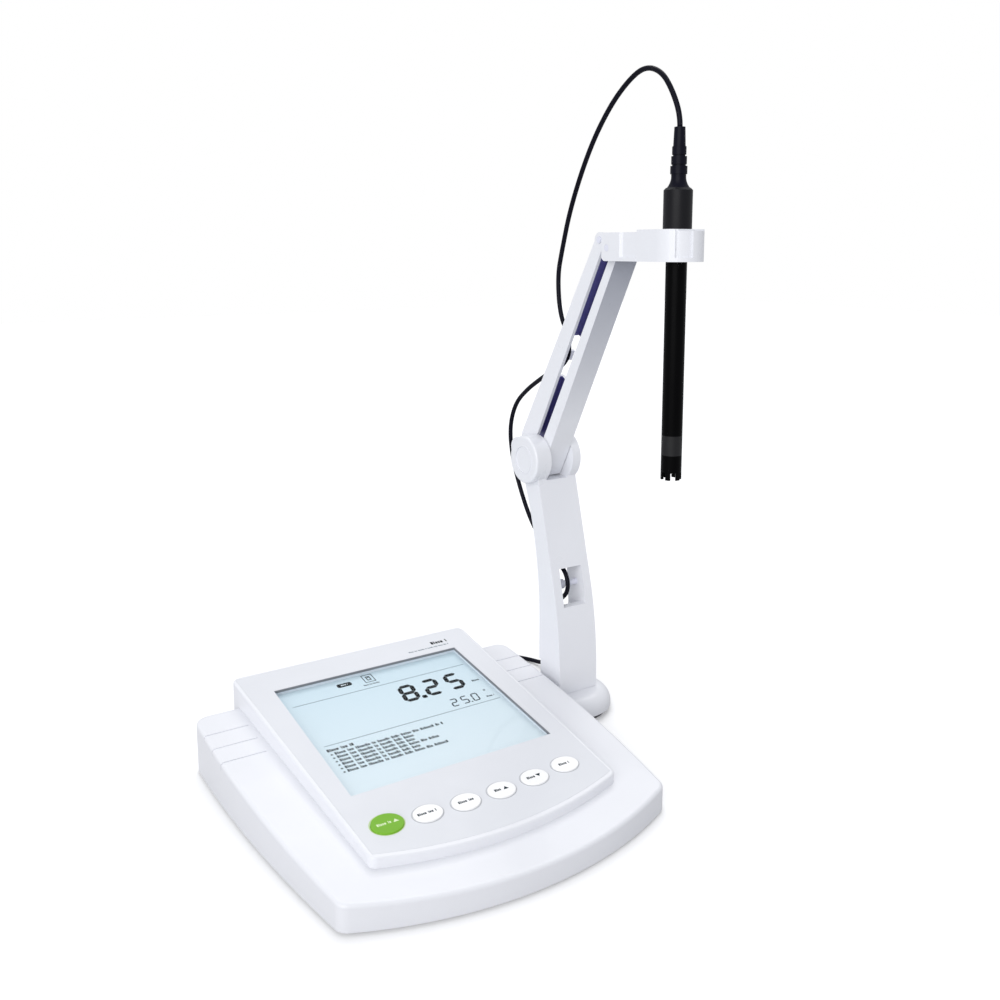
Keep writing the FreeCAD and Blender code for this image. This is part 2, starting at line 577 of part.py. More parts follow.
def plate_screw_prisms(name, radius, bottom, length):
    """A cylinder at each of the two screws that hold the base plate to the bottom cover."""
    return [prism(f"{name}{i}", "XY_Plane", (("plate_screw_x", f"swivel_y {sign} plate_screw_y"), radius),
                  bottom, length) for i, sign in enumerate("+-")]


def make_base():
    swivel = ("arm_x", "swivel_y")
    bar = prism("plate_bar", "XY_Plane", rectangle("plate_inner_x", "arm_x", "swivel_y - plate_half",
                                                   "swivel_y + plate_half"), "plate_z", "plate_thick")
    disc = prism("plate_disc", "XY_Plane", (swivel, "plate_disc_radius"), "plate_z", "plate_thick")
    holes = plate_screw_prisms("plate_hole", "screw_head_radius + running_gap", "0", "10")
    node("base_plate", cut("plate", fuse("plate_whole", [bar, disc]), holes))
    heads = plate_screw_prisms("plate_screw_head", "screw_head_radius", "cover_bottom_z - screw_head_thick",
                               "screw_head_thick")
    shanks = plate_screw_prisms("plate_screw_shank", "screw_radius", "cover_bottom_z", "cover_thick + 1")
    node("base_plate_screws", compound("plate_screws", [fuse(f"plate_screw{i}", list(pair))
                                                        for i, pair in enumerate(zip(heads, shanks))]))
    ring = prism("ring", "XY_Plane", (swivel, "plate_disc_radius"), "0", "ring_thick")
    add(ring, "XY_Plane", (swivel, "plate_disc_radius - 2 * ring_half_width"), "0", "ring_thick", cut=True)
    node("base_ring", ring)
    node("pivot_post", prism("post", "XY_Plane", (swivel, "post_radius"), "plate_z + plate_thick",
                             "post_top_z - plate_z - plate_thick"))


def column_foot(gap):
    """The section of the column's foot, grown all round by gap; a wall is a gap taken away."""
    return rectangle(minus(f"column_half {gap}"), f"column_half {gap}", f"column_front_y {minus(gap)}",
                     f"column_rear_y {gap}")


def make_hub():
    """The turntable under the column, with a domed rim and a socket for the column's foot."""
    turret = turned("turret", [("0", "hub_base_z"), ("hub_radius", "hub_base_z"),
                               ("hub_radius", "hub_top_z - hub_round", "hub_round", -1),
                               ("hub_radius - hub_round", "hub_top_z"), ("0", "hub_top_z")])
    set_frame(turret, ("0", "swivel_y", "0"))
    seat = prism("column_seat", "XY_Plane", column_foot("+ running_gap"), "column_foot_z", "past")
    bore = prism("post_bore", "XY_Plane", (("0", "swivel_y"), "post_radius + running_gap"), "0", "past")
    node("hub_turret", cut("turret_cut", turret, [seat, bore]), ARM)


def at_pivot(name, radius, half, where="", start=None):
    """A cylinder along X at the hinge axis or, with where "pair", at the rear link's lower pivot."""
    centre = (f"pivot_y + {where}_y", f"pivot_z + {where}_z") if where else ("pivot_y", "pivot_z")
    if start is None:
        return prism(name, "YZ_Plane", (centre, radius), "0", f"{half} + {half}", both_ways=True)
    return prism(name, "YZ_Plane", (centre, radius), start, half)


def make_column():
    """The column: a curved blade that ends in a fork, with a cable window through it."""
    profile = [("column_front_y", "column_foot_z"),
               ("column_front_y", "column_bend_z", "column_front_radius", 1),
               ("column_front_top_y", "column_front_top_z"),
               ("pivot_y - shoulder_front_y", "pivot_z + shoulder_rise"),
               ("pivot_y + pair_y - shoulder_rise", "pivot_z + pair_z + shoulder_rise"),
               ("pivot_y + pair_y + shoulder_rear_y", "pivot_z + pair_z - shoulder_rear_drop"),
               ("column_rear_top_y", "column_rear_top_z", "column_rear_radius", -1),
               ("column_rear_y", "column_rear_bend_z"), ("column_rear_y", "column_foot_z")]
    blade = prism("blade", "YZ_Plane", profile, "0", "column_half * 2", both_ways=True)
    ear = at_pivot("ear", "ear_radius", "column_half")
    rear_ear = at_pivot("rear_ear", "rear_ear_radius", "column_half", "pair")
    slot = prism("fork_slot", "YZ_Plane", rectangle("100", "200", "slot_floor_z", "200"), "0",
                 "slot_half * 2", both_ways=True)
    tunnel = [("100", "tunnel_bottom_z"), ("column_front_y + 10", "tunnel_bottom_z"),
              ("160", "tunnel_bottom_z - tunnel_flare"), ("160", "tunnel_top_z + tunnel_flare"),
              ("column_front_y + 14", "tunnel_top_z"), ("100", "tunnel_top_z")]
    window = prism("cable_window", "YZ_Plane", tunnel, "0", "tunnel_half * 2", both_ways=True)
    core = prism("column_core", "XY_Plane", column_foot("- column_wall"), "0", "column_core_top - 6")
    bolt = at_pivot("bolt_hole", "bolt_radius + running_gap", "past")
    pin = at_pivot("rear_pin_hole", "pin_radius + running_gap", "past", "pair")
    recess = at_pivot("right_recess", "right_cap_radius + running_gap", "past",
                      start="column_half - right_cap_thick")
    swing = prism("column_swing", "XY_Plane", (("0", "swivel_y"), "hub_radius"), "hub_top_z", "swing_height")
    add(swing, "XY_Plane", (("0", "swivel_y"), "swing_radius"), "hub_top_z", "swing_height", cut=True)
    node("column_body", cut("column", fuse("column_whole", [blade, ear, rear_ear]),
                            [slot, window, core, bolt, pin, recess, swing]), ARM)


def make_cable_hook():
    """A small hook on the right wall of the cable window."""
    place = ("hook_y", "hook_z")
    peg = prism("hook_peg", "YZ_Plane", (place, "hook_radius"), "tunnel_half - hook_length", "hook_length")
    lip = prism("hook_lip", "YZ_Plane", (place, "hook_lip_radius"),
                "tunnel_half - hook_length - hook_lip_thick", "hook_lip_thick")
    node("cable_hook", fuse("hook", [peg, lip]), ARM)


def make_hinge():
    node("hinge_bolt", at_pivot("bolt", "bolt_radius", "column_half * 2 - right_cap_thick",
                                start="- column_half"), ARM)
    cap = at_pivot("left_cap", "cap_radius", "cap_thick", start="- column_half - cap_thick")
    round_edges(cap, "cap_round", lambda edge: edge.BoundBox.XMin < value("0.1 - column_half - cap_thick"))
    ring_start = "- column_half - cap_thick - cap_ring_height"
    ring = at_pivot("cap_ring", "cap_ring", "cap_ring_height", start=ring_start)
    dish = at_pivot("cap_dish", "cap_ring - cap_ring_width", "2 * cap_ring_height", start=ring_start)
    node("hinge_cap_left", cut("left_cap_cut", fuse("left_cap_whole", [cap, ring]), [dish]), ARM)
    node("hinge_cap_right", at_pivot("right_cap", "right_cap_radius", "right_cap_thick",
                                     start="column_half - right_cap_thick"), ARM)
    node("rear_pivot_pin", at_pivot("lower_pin", "pin_radius", "column_half", "pair"), ARM)
    washers = []
    for side, start in (("left", "- slot_half"), ("right", "slot_half - washer_thick")):
        washer = at_pivot(f"washer_{side}", "washer_radius", "washer_thick", start=start)
        hole = at_pivot(f"washer_hole_{side}", "bolt_radius + running_gap", "washer_thick", start=start)
        washers.append(cut(f"washer_cut_{side}", washer, [hole]))
    node("friction_washers", compound("washers", washers), ARM)


# ---------------------------------------------------------------- links

def x_rod(name, y, z, radius, half):
    """A cylinder along X, centred on the frame's YZ plane."""
    return prism(name, "YZ_Plane", ((y, z), radius), "0", f"{half} + {half}", both_ways=True)


def x_block(name, outline, half):
    return prism(name, "YZ_Plane", outline, "0", f"{half} + {half}", both_ways=True)


def make_front_link():
    """The front link, a channel open to the rear, pivoted at the hinge bolt."""
    outline = [("- front_web", "- front_web_foot", "front_foot_radius", -1),
               ("front_lip", "- front_lip_foot"), ("front_lip", "link_length"),
               ("- front_web_top", "link_length"), ("- front_web", "front_web_taper")]
    outer = fuse("front_link_outside", [
        x_block("front_link_bar", outline, "link_half"),
        x_rod("front_low_knuckle", "0", "0", "front_knuckle", "link_half"),
        x_rod("front_top_knuckle_rod", "0", "link_length", "front_top_knuckle", "link_half")])
    channel = [("link_wall - front_web", "- front_channel_foot"), ("past", "- front_channel_foot"),
               ("past", "link_length + past"), ("- past", "link_length + past"),
               ("- past", "link_length - web_stop"), ("link_wall - front_web_top", "link_length - web_stop")]
    tools = [x_block("front_channel", channel, "link_half - link_wall"),
             x_rod("front_bolt_hole", "0", "0", "bolt_radius + running_gap", "past"),
             x_rod("front_pin_hole", "0", "link_length", "pin_radius + loose_gap", "past")]
    node("front_link", cut("front_link_cut", outer, tools), *FRONT_LINK)


def make_rear_link():
    """The rear link, a channel open to the front, with a window for the cable."""
    outline = [("- rear_lip", "0"), ("rear_heel", "- rear_heel_drop"), ("rear_web", "rear_web_foot"),
               ("rear_web_top", "link_length"), ("- rear_lip_top", "link_length")]
    outer = fuse("rear_link_outside", [
        x_block("rear_link_bar", outline, "link_half"),
        x_rod("rear_low_knuckle", "0", "0", "rear_knuckle", "link_half"),
        x_rod("rear_top_knuckle_rod", "0", "link_length", "rear_top_knuckle", "link_half")])
    channel = [("- past", "- past"), ("past", "- past"), ("past", "rear_channel_foot"),
               ("rear_web - link_wall", "rear_web_foot"),
               ("rear_web_top - link_wall", "link_length - web_stop"),
               ("past", "link_length - web_stop"), ("past", "link_length + past"),
               ("- past", "link_length + past")]
    window = prism("link_window", "XY_Plane", rectangle("link_wall - link_half", "past", "0", "past"),
                   "link_window_bottom", "link_window_top - link_window_bottom")
    tools = [x_block("rear_channel", channel, "link_half - link_wall"), window,
             x_rod("rear_low_hole", "0", "0", "pin_radius + running_gap", "past"),
             x_rod("rear_top_hole", "0", "link_length", "pin_radius + running_gap", "past")]
    node("rear_link", cut("rear_link_cut", outer, tools), *REAR_LINK)
    clip = prism("clip", "XY_Plane", rectangle("link_wall - link_half", "link_half", "clip_rear - clip_thick",
                                               "clip_rear"), "clip_bottom", "clip_height")
    node("link_clip", clip, *REAR_LINK)


# ---------------------------------------------------------------- holder head and probe

def head_pin(x_half, radius, name, pair=False):
    """A cylinder along X at the upper pivot of the front link, or of the rear link."""
    lean = math.radians(value("lean"))
    along = value("link_length")
    y = f"pivot_y - {along * math.sin(lean):.4f}" + (" + pair_y" if pair else "")
    z = f"pivot_z + {along * math.cos(lean):.4f}" + (" + pair_z" if pair else "")
    return x_rod(name, y, z, radius, x_half)


def make_head():
    """The head: a hood over the links' ends, a waist, and a barrel that grips the probe."""
    front = [("- ring_radius", "probe_y", "ring_radius", -1),
             ("0", "probe_y - ring_radius", "ring_radius", -1), ("ring_radius", "probe_y")]
    plan = [("- head_half", "head_rear_y"), ("- head_half", "barrel_rear_y"),
            ("- ring_radius", "barrel_rear_y"), *front, ("ring_radius", "barrel_rear_y"),
            ("head_half", "barrel_rear_y"), ("head_half", "head_rear_y")]
    height = "head_top_z - head_bottom_z"
    centre = ("0", "probe_y")
    block = prism("head_block", "XY_Plane", plan, "head_bottom_z", height)

    def at_rear_underside(edge):
        box = edge.BoundBox
        return box.YMin > value("head_rear_y") - 1e-4 and box.ZMax < value("head_bottom_z") + 1e-4
    round_edges(block, "cheek_round", at_rear_underside)
    for sign in "-+":
        waist = [(f"{sign} head_half {sign} 1", "neck_rear_y"), (f"{sign} head_half", "neck_rear_y"),
                 (f"{sign} neck_half", "neck_rear_y - waist_bevel"),
                 (f"{sign} neck_half", "barrel_rear_y + waist_bevel"),
                 (f"{sign} ring_radius", "barrel_rear_y"), (f"{sign} head_half {sign} 1", "barrel_rear_y")]
        add(block, "XY_Plane", waist, "head_bottom_z + ledge", height, cut=True)
    crown = prism("head_crown", "XY_Plane", [("- ring_radius", "barrel_rear_y"), *front,
                                             ("ring_radius", "barrel_rear_y")], "head_top_z", "crown")
    add(crown, "XY_Plane", rectangle("- past", "past", "0", "crown_front_y"), "head_top_z + crown_step",
        "crown", cut=True)
    tongue = x_block("head_tongue", rectangle("hood_front_y - 1", "head_rear_y + tongue_length",
                                              "tongue_bottom_z", "head_top_z - 1"), "tongue_half")
    tongue_end = head_pin("tongue_half", "tongue_end", "tongue_knuckle", pair=True)
    hood = x_block("hood_hollow", rectangle("hood_front_y", "head_rear_y + 10", "head_bottom_z - 5",
                                            "head_top_z - hood_wall"), "slot_half")
    pocket_band = prism("pocket_band", "XY_Plane", rectangle("pocket_left", "pocket_right", "0", "probe_y"),
                        "head_bottom_z + ledge", "2 * past")
    pocket_floor = prism("pocket_floor", "XY_Plane", (centre, "ring_radius - pocket_depth"),
                         "head_bottom_z - past", "4 * past")
    pocket = cut("head_pocket", pocket_band, [pocket_floor])
    bore = prism("grip_bore", "XY_Plane", (centre, "grip_radius + running_gap"), "head_bottom_z - past",
                 "3 * past")
    shell = cut("head_shell", fuse("head_whole", [block, crown]), [hood, pocket])
    solid = fuse("head_solid", [shell, tongue, tongue_end])
    node("holder_head", cut("head_cut", solid, [
        bore, head_pin("past", "pin_radius + running_gap", "head_front_hole"),
        head_pin("past", "pin_radius + running_gap", "head_rear_hole", pair=True)]), ARM)
    node("head_front_pin", head_pin("head_half", "pin_radius", "front_top_pin"), ARM)
    node("head_rear_pin", head_pin("link_half + pin_proud", "pin_radius", "rear_top_pin", pair=True), ARM)


def make_probe():
    axis = ("arm_x", "probe_y", "0")
    inner = "shaft_radius - shaft_wall"
    node("probe_grip", tube("grip", "shaft_radius + grip_gap", "grip_radius", "head_bottom_z",
                            "head_top_z + crown"), axis)
    node("probe_shaft", tube("shaft", inner, "shaft_radius", "band_top_z", "shaft_top_z"), axis)
    node("membrane_sleeve", tube("sleeve", inner, "shaft_radius", "band_bottom_z", "band_top_z"), axis)
    guard = tube("guard", inner, "shaft_radius", "guard_bottom_z", "band_bottom_z")
    for index in range(3):
        across = rectangle("- shaft_radius - 1", "shaft_radius + 1", "- tooth_gap_half", "tooth_gap_half")
        slot = prism(f"tooth_gap{index}", "XY_Plane", across, "guard_bottom_z - 1",
                     "guard_teeth_top_z - guard_bottom_z + 1")
        slot.Placement = Placement(Vector(), Rotation(Vector(0, 0, 1), 60 * index))
        guard = cut(f"guard_cut{index}", guard, [slot])
    node("probe_guard", guard, axis)
    node("cathode_stem", turned("stem", [("0", "stem_bottom_z"), ("stem_radius", "stem_bottom_z"),
                                         ("stem_radius", "stem_top_z"), ("0", "stem_top_z")]), axis)
    node("probe_cap", turned("cap", [
        ("shaft_radius + running_gap", "cap_bottom_z"), ("probe_cap_radius", "cap_bottom_z"),
        ("probe_cap_radius", "cap_top_z - cap_bevel"), ("probe_cap_radius - cap_bevel", "cap_top_z"),
        ("0", "cap_top_z"), ("0", "shaft_top_z"), ("shaft_radius + running_gap", "shaft_top_z")]), axis)
    ribs = []
    for index in range(3):
        low, radius = f"relief_flare_z + {index} * relief_pitch", f"relief_rib - {index} * relief_taper"
        ribs += [(f"{radius} - relief_groove", low), (f"{radius} - relief_groove", f"{low} + relief_gap"),
                 (radius, f"{low} + relief_gap"), (radius, f"{low} + relief_pitch")]
    outline = [("0", "cap_top_z"), ("relief_base", "cap_top_z", "relief_flare_radius", 1), *ribs,
               ("relief_collar", "relief_flare_z + 3 * relief_pitch"), ("relief_tip", "relief_top_z"),
               ("0", "relief_top_z")]
    node("probe_relief", turned("relief", outline), axis)


# ---------------------------------------------------------------- cable and plug

def bend_radius(before, corner, after):
    """The radius and tangent length of the arc that rounds a corner of the route."""
    first, second = before - corner, after - corner
    half_turn = (math.pi - first.getAngle(second)) / 2
    tangent = 0.45 * min(first.Length, second.Length)
    return tangent / math.tan(half_turn), tangent


def cable_path(points):
    """Straight runs joined by tangent arcs."""
    edges, here = [], points[0]
    for before, corner, after in zip(points, points[1:], points[2:]):
        radius, tangent = bend_radius(before, corner, after)
        to_before, to_after = (before - corner).normalize(), (after - corner).normalize()
        start, end = corner + to_before * tangent, corner + to_after * tangent
        inward = (to_before + to_after).normalize()
        reach = math.hypot(radius, tangent) - radius
        edges.append(Part.LineSegment(here, start).toShape())
        edges.append(Part.Arc(start, corner + inward * reach, end).toShape())
        here = end
    edges.append(Part.LineSegment(here, points[-1]).toShape())
    return Part.Wire(edges)


def make_cable(name, points):
    """One stretch of the cable: a round tube along its path."""
    path = cable_path(points)
    profile = Part.Wire(Part.Circle(points[0], points[1] - points[0], value("cable_radius")).toShape())
    item = doc.addObject("Part::Feature", name)
    item.Shape = path.makePipeShell([profile], True, False)
    radii = [bend_radius(*corner)[0] for corner in zip(points, points[1:], points[2:])]
    expected = math.pi * value("cable_radius") ** 2 * path.Length
    print(f"{name}: length {path.Length:.1f}, volume {item.Shape.Volume / expected:.4f} of section x length,"
          f" radii {', '.join(f'{radius:.0f}' for radius in radii)}")
    node(name, item)
    return path.Length


def make_cables():
    """The cable in its stretches, divided halfway along runs that hang free."""
    route = [Vector(*point) for point in ROUTE]
    total = 0.0
    for name, (first, last) in STRETCHES.items():
        points = route[first:last + 1]
        if first > 0:
            points.insert(0, (route[first - 1] + route[first]) / 2)
        if last < len(route) - 1:
            points.append((route[last] + route[last + 1]) / 2)
        total += make_cable(name, points)
    print(f"cable: {total:.1f} in all")


def make_plug():
    sleeve = at_back_wall("plug_sleeve", "probe_socket_x", "plug_radius", "plug_end_y",
                          "plug_end_y - plug_start_y")
    bore = at_back_wall("plug_hollow", "probe_socket_x", "plug_bore", "plug_start_y + plug_bore_length",
                        "plug_bore_length + 1")
    node("bnc_plug", cut("plug", sleeve, [bore]))
    boot = turned("boot", [("0", "0"), ("boot_radius", "0"),
                           ("boot_tip_radius", "boot_end_y - plug_end_y"), ("0", "boot_end_y - plug_end_y")])
    node("plug_boot", boot, ("probe_socket_x", "plug_end_y", "socket_z"))
    boot.Placement = Placement(boot.Placement.Base, Rotation(Vector(1, 0, 0), -90))


def check_and_write():
    """Stops on a failed object; otherwise writes each sub-part to its own file."""
    doc.recompute()
    for item in doc.Objects:
        if "Invalid" in item.State or "Error" in item.State:
            raise RuntimeError(f"{item.Name} failed: {item.State}")
    os.makedirs("parts", exist_ok=True)
    for label, item in NODES.items():
        if item.Shape.isNull() or not item.Shape.isValid() or not item.Shape.Solids:
            raise RuntimeError(f"{label} is not a valid solid")
        item.Shape.exportStep(f"parts/{label}.step")


make_top_housing()
make_bottom_cover()
make_feet()
make_housing_screws()
make_faceplate()
make_display()
for key_index, key_name in enumerate(KEYS):
    make_key(key_index, key_name)
make_key_electronics()
make_sockets()
make_base()
make_hub()
make_column()
make_cable_hook()
make_hinge()
make_front_link()
make_rear_link()
make_head()
make_probe()
make_cables()
make_plug()
check_and_write()
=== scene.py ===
"""Looks of the benchtop dissolved-oxygen meter with its electrode arm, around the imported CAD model.

Lengths are in metres, apart from the tables that say millimetres. Positions on the case are given in the
frame of the case, X to the right, Y to the back, Z up from the bench, and at() moves them to the frame of
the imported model.
"""
import json
import math

import bmesh
import bpy
from mathutils import Matrix, Vector


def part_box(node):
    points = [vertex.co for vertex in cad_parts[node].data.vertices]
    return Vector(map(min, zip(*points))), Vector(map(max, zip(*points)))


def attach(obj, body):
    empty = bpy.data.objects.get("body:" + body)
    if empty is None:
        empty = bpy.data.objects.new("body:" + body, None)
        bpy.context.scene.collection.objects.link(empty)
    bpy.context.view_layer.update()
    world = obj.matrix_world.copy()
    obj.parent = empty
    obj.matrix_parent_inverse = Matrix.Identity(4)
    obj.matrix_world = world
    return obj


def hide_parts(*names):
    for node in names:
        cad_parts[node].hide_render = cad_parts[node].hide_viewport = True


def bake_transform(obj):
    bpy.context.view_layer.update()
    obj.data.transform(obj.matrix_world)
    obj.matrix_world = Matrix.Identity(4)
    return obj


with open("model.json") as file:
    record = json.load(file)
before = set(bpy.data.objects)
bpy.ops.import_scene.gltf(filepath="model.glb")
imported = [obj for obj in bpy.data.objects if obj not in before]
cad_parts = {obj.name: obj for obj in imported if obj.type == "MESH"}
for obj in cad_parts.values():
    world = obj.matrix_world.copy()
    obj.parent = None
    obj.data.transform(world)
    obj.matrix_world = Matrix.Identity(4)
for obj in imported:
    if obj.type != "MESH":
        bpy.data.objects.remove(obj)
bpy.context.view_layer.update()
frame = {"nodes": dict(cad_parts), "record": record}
NODES = frame["nodes"]

MM = 0.001
# The axis of the probe in the frame of the case.
PROBE_X, PROBE_Y = 0.128, 0.0305


def middle(node):
    low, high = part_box(node)
    return (low + high) / 2


ORIGIN = Vector((middle("probe_shaft").x - PROBE_X, middle("probe_shaft").y - PROBE_Y, 0))


def at(x, y, z):
    """A point given in the frame of the case."""
    return ORIGIN + Vector((x, y, z))


# ---------------------------------------------------------------- camera, floor and lights

CAMERA_PLACE = (-0.281144, -0.479389, 0.3074)
# How far the camera looks below the level, and how far to the right of the Y axis, in radians.
CAMERA_DOWN, CAMERA_RIGHT = 0.150599, 0.567695
FLOOR_HALF = 4.0
ROOM_LIGHT = 0.62


def make_camera():
    data = bpy.data.cameras.new("camera")
    data.lens = 36.264
    data.sensor_width = 36.0
    data.shift_y = -0.1
    data.clip_start = 0.02
    camera = bpy.data.objects.new("camera", data)
    camera.location = CAMERA_PLACE
    camera.rotation_euler = (math.pi / 2 - CAMERA_DOWN, 0, -CAMERA_RIGHT)
    bpy.context.scene.collection.objects.link(camera)
    bpy.context.scene.camera = camera


def make_floor():
    half = FLOOR_HALF
    corners = [(-half, -half, 0), (half, -half, 0), (half, half, 0), (-half, half, 0)]
    mesh = bpy.data.meshes.new("floor")
    mesh.from_pydata(corners, [], [(0, 1, 2, 3)])
    floor = bpy.data.objects.new("floor", mesh)
    bpy.context.scene.collection.objects.link(floor)
    mesh.materials.append(floor_white())


def soft_sun(name, source, strength, angle):
    """Even light from the direction of source, as from a large softbox."""
    data = bpy.data.lights.new(name, "SUN")
    data.energy = strength
    data.angle = math.radians(angle)
    light = bpy.data.objects.new(name, data)
    light.rotation_euler = Vector(source).to_track_quat("Z", "Y").to_euler()
    bpy.context.scene.collection.objects.link(light)


def make_lights():
    """Two soft lights in a room that is pure white where the camera looks past the object."""
    world = bpy.data.worlds.new("studio")
    bpy.context.scene.world = world
    world.use_nodes = True
    nodes, links = world.node_tree.nodes, world.node_tree.links
    nodes["Background"].inputs["Color"].default_value = (0.95, 0.965, 1.0, 1)
    nodes["Background"].inputs["Strength"].default_value = ROOM_LIGHT
    seen = nodes.new("ShaderNodeBackground")
    seen.inputs["Color"].default_value = (1, 1, 1, 1)
    path = nodes.new("ShaderNodeLightPath")
    mixed = nodes.new("ShaderNodeMixShader")
    links.new(path.outputs["Is Camera Ray"], mixed.inputs["Fac"])
    links.new(nodes["Background"].outputs["Background"], mixed.inputs[1])
    links.new(seen.outputs["Background"], mixed.inputs[2])
    links.new(mixed.outputs["Shader"], nodes["World Output"].inputs["Surface"])
    soft_sun("overhead", (0.35, 0.45, 1.0), 1.1, 50)
    soft_sun("left_softbox", (-1.4, -0.95, 0.5), 1.75, 55)
    bpy.context.scene.view_settings.view_transform = "Standard"


# ---------------------------------------------------------------- materials

class Finish:
    """A new material built from a Principled shader and noise in the frame of the object."""

    def __init__(self, name):
        self.material = bpy.data.materials.new(name)
        self.material.use_nodes = True
        self.tree = self.material.node_tree
        self.shader = self.tree.nodes["Principled BSDF"]
        places = self.tree.nodes.new("ShaderNodeTexCoord")
        self.coordinates = places.outputs["Object"]
        self.normal = places.outputs["Normal"]

    def add(self, kind, values=(), links=()):
        node = self.tree.nodes.new(kind)
        for name, value in dict(values).items():
            node.inputs[name].default_value = value
        for name, socket in dict(links).items():
            self.tree.links.new(socket, node.inputs[name])
        return node

    def set(self, **values):
        for name, value in values.items():
            self.shader.inputs[name.replace("_", " ")].default_value = value

    def link(self, socket, name):
        self.tree.links.new(socket, self.shader.inputs[name])

    def noise(self, scale, detail=2.0, stretch=(1, 1, 1)):
        """Noise with features about 1/scale metres across."""
        placed = self.add("ShaderNodeMapping", {"Scale": stretch}, {"Vector": self.coordinates})
        made = self.add("ShaderNodeTexNoise", {"Scale": scale, "Detail": detail},
                        {"Vector": placed.outputs["Vector"]})
        return made.outputs["Fac"]

    def spread(self, value, low, high, start=0.3, end=0.7):
        """From low to high as the value goes from start to end."""
        limits = {"From Min": start, "From Max": end, "To Min": low, "To Max": high}
        return self.add("ShaderNodeMapRange", limits, {"Value": value}).outputs["Result"]

    def blend(self, value, first, second):
        """A mix of two colours, each a triple or a socket."""
        made = self.tree.nodes.new("ShaderNodeMix")
        made.data_type = "RGBA"
        for name, color in (("A", first), ("B", second)):
            if isinstance(color, tuple):
                made.inputs[name].default_value = (*color, 1)
            else:
                self.tree.links.new(color, made.inputs[name])
        self.tree.links.new(value, made.inputs["Factor"])
        return made.outputs["Result"]

    def math(self, operation, first, second):
        """A sum on two inputs, each a number or a socket."""
        made = self.tree.nodes.new("ShaderNodeMath")
        made.operation = operation
        for place, source in enumerate((first, second)):
            if isinstance(source, float):
                made.inputs[place].default_value = source
            else:
                self.tree.links.new(source, made.inputs[place])
        return made.outputs["Value"]

    def component(self, socket, direction):
        """How far a vector reaches in a direction."""
        made = self.add("ShaderNodeVectorMath", {1: direction}, {0: socket})
        made.operation = "DOT_PRODUCT"
        return made.outputs["Value"]

    def bump(self, height, depth):
        made = self.add("ShaderNodeBump", {"Strength": 0.5, "Distance": depth}, {"Height": height})
        self.link(made.outputs["Normal"], "Normal")


def scaled(color, share):
    return tuple(min(1.0, channel * share) for channel in color)


def floor_white():
    """White paper that lights the object from below less than it shows itself."""
    finish = Finish("floor_white")
    seen = finish.tree.nodes.new("ShaderNodeLightPath").outputs["Is Camera Ray"]
    finish.link(finish.blend(seen, (0.45, 0.45, 0.46), (0.97, 0.97, 0.97)), "Base Color")
    finish.set(Roughness=0.9, Specular_IOR_Level=0.0, Emission_Strength=0.12)
    finish.set(Emission_Color=(1, 1, 1, 1))
    return finish.material


def painted(name, color, roughness, grain, depth, vary, metallic=0.0, stretch=(1, 1, 1), coat=0.0,
            shine=0.5, patch=None):
    """A surface with a soft mottle in its colour, a fine grain in its height and an uneven gloss. The grain
    has 1/grain metres between its bumps and a depth in millimetres. A patch is another colour, and a
    function that makes the value by which it covers the first."""
    finish = Finish(name)
    mottle = finish.spread(finish.noise(18, 3), 0, 1)
    surface = finish.blend(mottle, scaled(color, 1 - vary), scaled(color, 1 + vary))
    if patch:
        other, cover = patch
        surface = finish.blend(cover(finish), surface, other)
    finish.link(surface, "Base Color")
    finish.link(finish.spread(finish.noise(60, 4), roughness * 0.85, roughness * 1.15), "Roughness")
    finish.bump(finish.noise(grain, 3, stretch), depth * MM)
    finish.set(Metallic=metallic, Coat_Weight=coat, Specular_IOR_Level=shine)
    return finish.material


ANTI_GLARE = 0.15


def display_glass():
    """A thin clear window: it lets light straight through, and shines at a low angle."""
    finish = Finish("window_clear")
    clear = finish.add("ShaderNodeBsdfTransparent", {"Color": (0.97, 0.99, 1.0, 1)})
    edge_on = finish.add("ShaderNodeFresnel", {"IOR": 1.4}).outputs["Fac"]
    smears = finish.spread(finish.noise(35, 4, (1, 3, 1)), 0.02, 0.05)
    gloss = finish.add("ShaderNodeBsdfGlossy", {"Color": (1, 1, 1, 1)}, {"Roughness": smears})
    facing = finish.tree.nodes.new("ShaderNodeNewGeometry")
    front = finish.math("SUBTRACT", 1.0, facing.outputs["Backfacing"])
    coated = finish.math("MULTIPLY", front, ANTI_GLARE)
    mixed = finish.add("ShaderNodeMixShader", (), {"Fac": finish.math("MULTIPLY", edge_on, coated)})
    finish.tree.links.new(clear.outputs["BSDF"], mixed.inputs[1])
    finish.tree.links.new(gloss.outputs["BSDF"], mixed.inputs[2])
    surface = finish.tree.nodes["Material Output"].inputs["Surface"]
    finish.tree.links.new(mixed.outputs["Shader"], surface)
    return finish.material


def display_cell():
    """The lit liquid-crystal cell: pale cyan, paler to the front, with a faint haze."""
    finish = Finish("lcd_cyan")
    low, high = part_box("lcd_module")
    depth = finish.spread(finish.component(finish.coordinates, (0, 1, 0)), 0, 1, low.y, high.y)
    hazed = finish.math("ADD", depth, finish.math("MULTIPLY", finish.noise(25, 2), 0.12))
    color = finish.blend(hazed, (0.70, 0.745, 0.765), (0.575, 0.665, 0.71))
    finish.link(color, "Base Color")
    finish.link(color, "Emission Color")
    finish.set(Emission_Strength=0.12)
    finish.link(finish.spread(finish.noise(300), 0.35, 0.45), "Roughness")
    return finish.material


